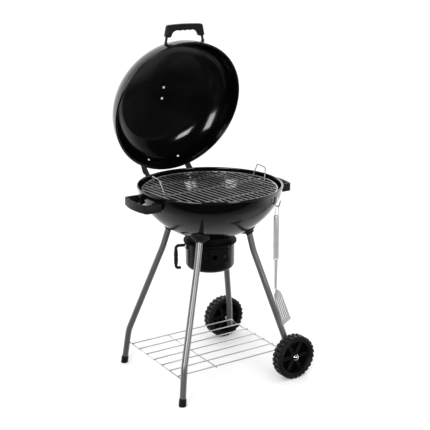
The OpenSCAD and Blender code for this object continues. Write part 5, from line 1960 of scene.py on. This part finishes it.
@dataclass
class Studio:
    """Pale floor, white sky, soft lights and the camera."""

    azimuth: float = -32.61
    elevation: float = 15.98
    distance: float = 3819.6
    target: tuple[float, float] = (19.82, 648.9)
    lens: float = 81.55
    sky_level: float = 1.25
    card_level: float = 0.02
    sweep: float = 0.65
    sweep_start: float = 0.37
    sweep_reach: tuple[float, float] = (0.14, -0.6)
    backdrop: float = 1.9
    backdrop_reach: tuple[float, float] = (0.14, -0.4)
    front_edge: tuple[float, float] = (0.32, 0.14)
    horizon: tuple[float, float] = (-0.62, -0.2)
    floor_radius: float = 30.0
    floor_drop: float = 0.0004
    floor_cloud: float = 1.3
    floor_levels: tuple[float, float] = (0.86, 0.9)
    floor_roughness: float = 0.75
    floor_dulling: float = 0.1
    lights: tuple[SoftLight, ...] = (
        SoftLight("front right", (0.15, -3.3, 0.95), 0.9, (1.0, 0.8), power=30),
        SoftLight("front left", (-2.75, -2.0, 1.45), 0.9, (1.1, 1.8), power=70),
        SoftLight(
            "over front", (0.42, -1.9, 2.9), 0.8, (0.7, 0.7), power=26, only="bowl_enamelled"
        ),
        SoftLight(
            "over left", (-2.07, -0.54, 2.7), 0.8, (1.1, 1.1), power=60, only="bowl_enamelled"
        ),
    )

    def to_camera(self) -> Vector:
        """Direction from the grill to the camera."""
        rise = math.radians(self.elevation)
        level = plan_direction(self.azimuth - 90) * math.cos(rise)
        return level + Vector((0, 0, math.sin(rise)))

    def camera(self) -> None:
        """Set the camera by its direction and distance."""
        aim = plan_direction(self.azimuth) * self.target[0] + Vector((0, 0, self.target[1]))
        data = bpy.data.cameras.new("camera")
        data.lens = self.lens
        camera = bpy.data.objects.new("camera", data)
        spot = (aim + self.to_camera() * self.distance) * MM + Vector((0, AXIS_Y * MM, 0))
        turn = turned(self.azimuth) @ turned(90 - self.elevation, "X")
        camera.matrix_world = Matrix.Translation(spot) @ turn
        bpy.context.collection.objects.link(camera)
        bpy.context.scene.camera = camera

    def floor(self) -> None:
        """Lay the floor."""
        deselect()
        spot = (0, 0, -self.floor_drop)
        bpy.ops.mesh.primitive_circle_add(
            vertices=64, radius=self.floor_radius, fill_type="NGON", location=spot
        )
        floor = bpy.context.object
        floor.name = "floor"
        recipe = Recipe("pale floor")
        cloud = recipe.noise(self.floor_cloud, detail=3.0)
        colour = recipe.blend(cloud, *map(grey, self.floor_levels))
        dull = self.floor_roughness + cloud * self.floor_dulling
        floor.data.materials.append(recipe.surface(Base_Color=colour, Roughness=dull))
        floor.visible_glossy = False

    def sky(self) -> None:
        """Hang a white sky; glossy pieces mirror a dark front, and a bright back and sweep."""
        world = bpy.data.worlds.new("studio")
        nodes = Nodes(world)
        direction = nodes.add("ShaderNodeTexCoord", out="Generated")
        sockets = {0: direction, 1: self.to_camera()}
        front = nodes.add("ShaderNodeVectorMath", {"operation": "DOT_PRODUCT"}, sockets, "Value")
        height = nodes.add("ShaderNodeSeparateXYZ", {}, {0: direction}, "Z")
        open_side = front.between(*self.front_edge)
        behind = front.between(*self.backdrop_reach, last=self.backdrop - self.sweep)
        above = height.between(*self.horizon)
        sweep = front.between(*self.sweep_reach, self.sweep * self.sweep_start, self.sweep)
        mirrored = self.card_level + open_side * (sweep + behind * above)
        glossy = nodes.add("ShaderNodeLightPath", out="Is Glossy Ray")
        sockets = {0: glossy, 2: self.sky_level, 3: mirrored}
        strength = nodes.add("ShaderNodeMix", {"data_type": "FLOAT"}, sockets)
        sockets = {"Color": (1.0, 1.0, 1.0, 1.0), "Strength": strength}
        light = nodes.add("ShaderNodeBackground", {}, sockets)
        nodes.add("ShaderNodeOutputWorld", {}, {"Surface": light})
        bpy.context.scene.world = world

    def build(self) -> None:
        """Set up camera, floor, sky and lights."""
        self.camera()
        self.floor()
        self.sky()
        for light in self.lights:
            light.hang()


# ---------------------------------------------------------------- the whole grill


def make_legs() -> list[Leg]:
    """The four legs: foot legs at -X and wheel legs at +X."""
    legs = []
    for side_y, row in ((1, "rear"), (-1, "front")):
        legs.append(Leg(
            f"{row}_left", side_x=-1, side_y=side_y, top=(120.0, 117.0), azimuth=37.9,
            tilts=(17.0, 22.0, 8.5), heights=(588.0, 511.0, 145.0, 5.0), bends=(160.0, 160.0),
        ))
        legs.append(Leg(
            f"{row}_right", side_x=1, side_y=side_y, top=(123.0, 91.0), azimuth=46.9,
            tilts=(13.5, 20.4, 7.0), heights=(588.0, 511.0, 155.0, 62.0), bends=(160.0, 90.0),
        ))
    return legs


def shelf_between(foot_leg: Leg, wheel_leg: Leg) -> Shelf:
    """The shelf, its side wires' ends inside the legs.

    Args:
        foot_leg: Front left leg.
        wheel_leg: Front right leg.

    Returns:
        The shelf.
    """
    spots = []
    for leg in (foot_leg, wheel_leg):
        upper, lower = leg.points()[-2:]
        share = (upper.z - Shelf.height) / (upper.z - lower.z)
        spots.append(upper + (lower - upper) * share)
    left, right = spots
    return Shelf(
        left=left.x + Shelf.left_inset,
        right=right.x - Shelf.right_inset,
        left_end=abs(left.y) - Shelf.end_gap,
        right_end=abs(right.y) - Shelf.end_gap,
    )


def make_grates() -> list[WireGrate]:
    """The cooking grate, and the charcoal grate under it."""
    cooking = WireGrate(
        "cooking_wires", body="cooking_grate", node="cooking_grate", height=761.0, radius=262.0,
        wire=2.3, pitch=23.0, count=21, crosses=(-157.2, 0.0, 157.2), turn=4.7,
        finish=PLATED, slot="plated_wire",
    )
    charcoal = WireGrate(
        "charcoal_wires", body="stand", node="charcoal_grate", height=640.0, radius=197.285,
        wire=2.6, pitch=27.0, count=13, crosses=(-98.64, 98.64), turn=90.0,
        finish=GRATE_STEEL, slot="grate_steel", short=9.0,
    )
    return [cooking, charcoal]


def main() -> None:
    """Build every sub-assembly and the studio; each piece logs its face count."""
    bpy.context.scene.view_settings.view_transform = "Standard"
    logging.basicConfig(level=logging.INFO, format="%(name)s: %(message)s")
    deselect()
    Fittings().dress()
    # Two of the studio's lights shine on the bowl alone, so it comes first.
    Bowl().build()
    Studio().build()
    for side in (-1, 1):
        SideHandle(side).build()
    Lid().build()
    LidHandle().build()
    legs = make_legs()
    for leg in legs:
        leg.build()
    Feet([leg for leg in legs if leg.side_x < 0]).build()
    shelf_between(legs[2], legs[3]).build()
    for side in (-1, 1):
        Wheel(side).build()
    for grate in make_grates():
        grate.build()
    GrateHandles().build()
    AshPot().build()
    Spatula().build()


if __name__ == "__main__":
    main()
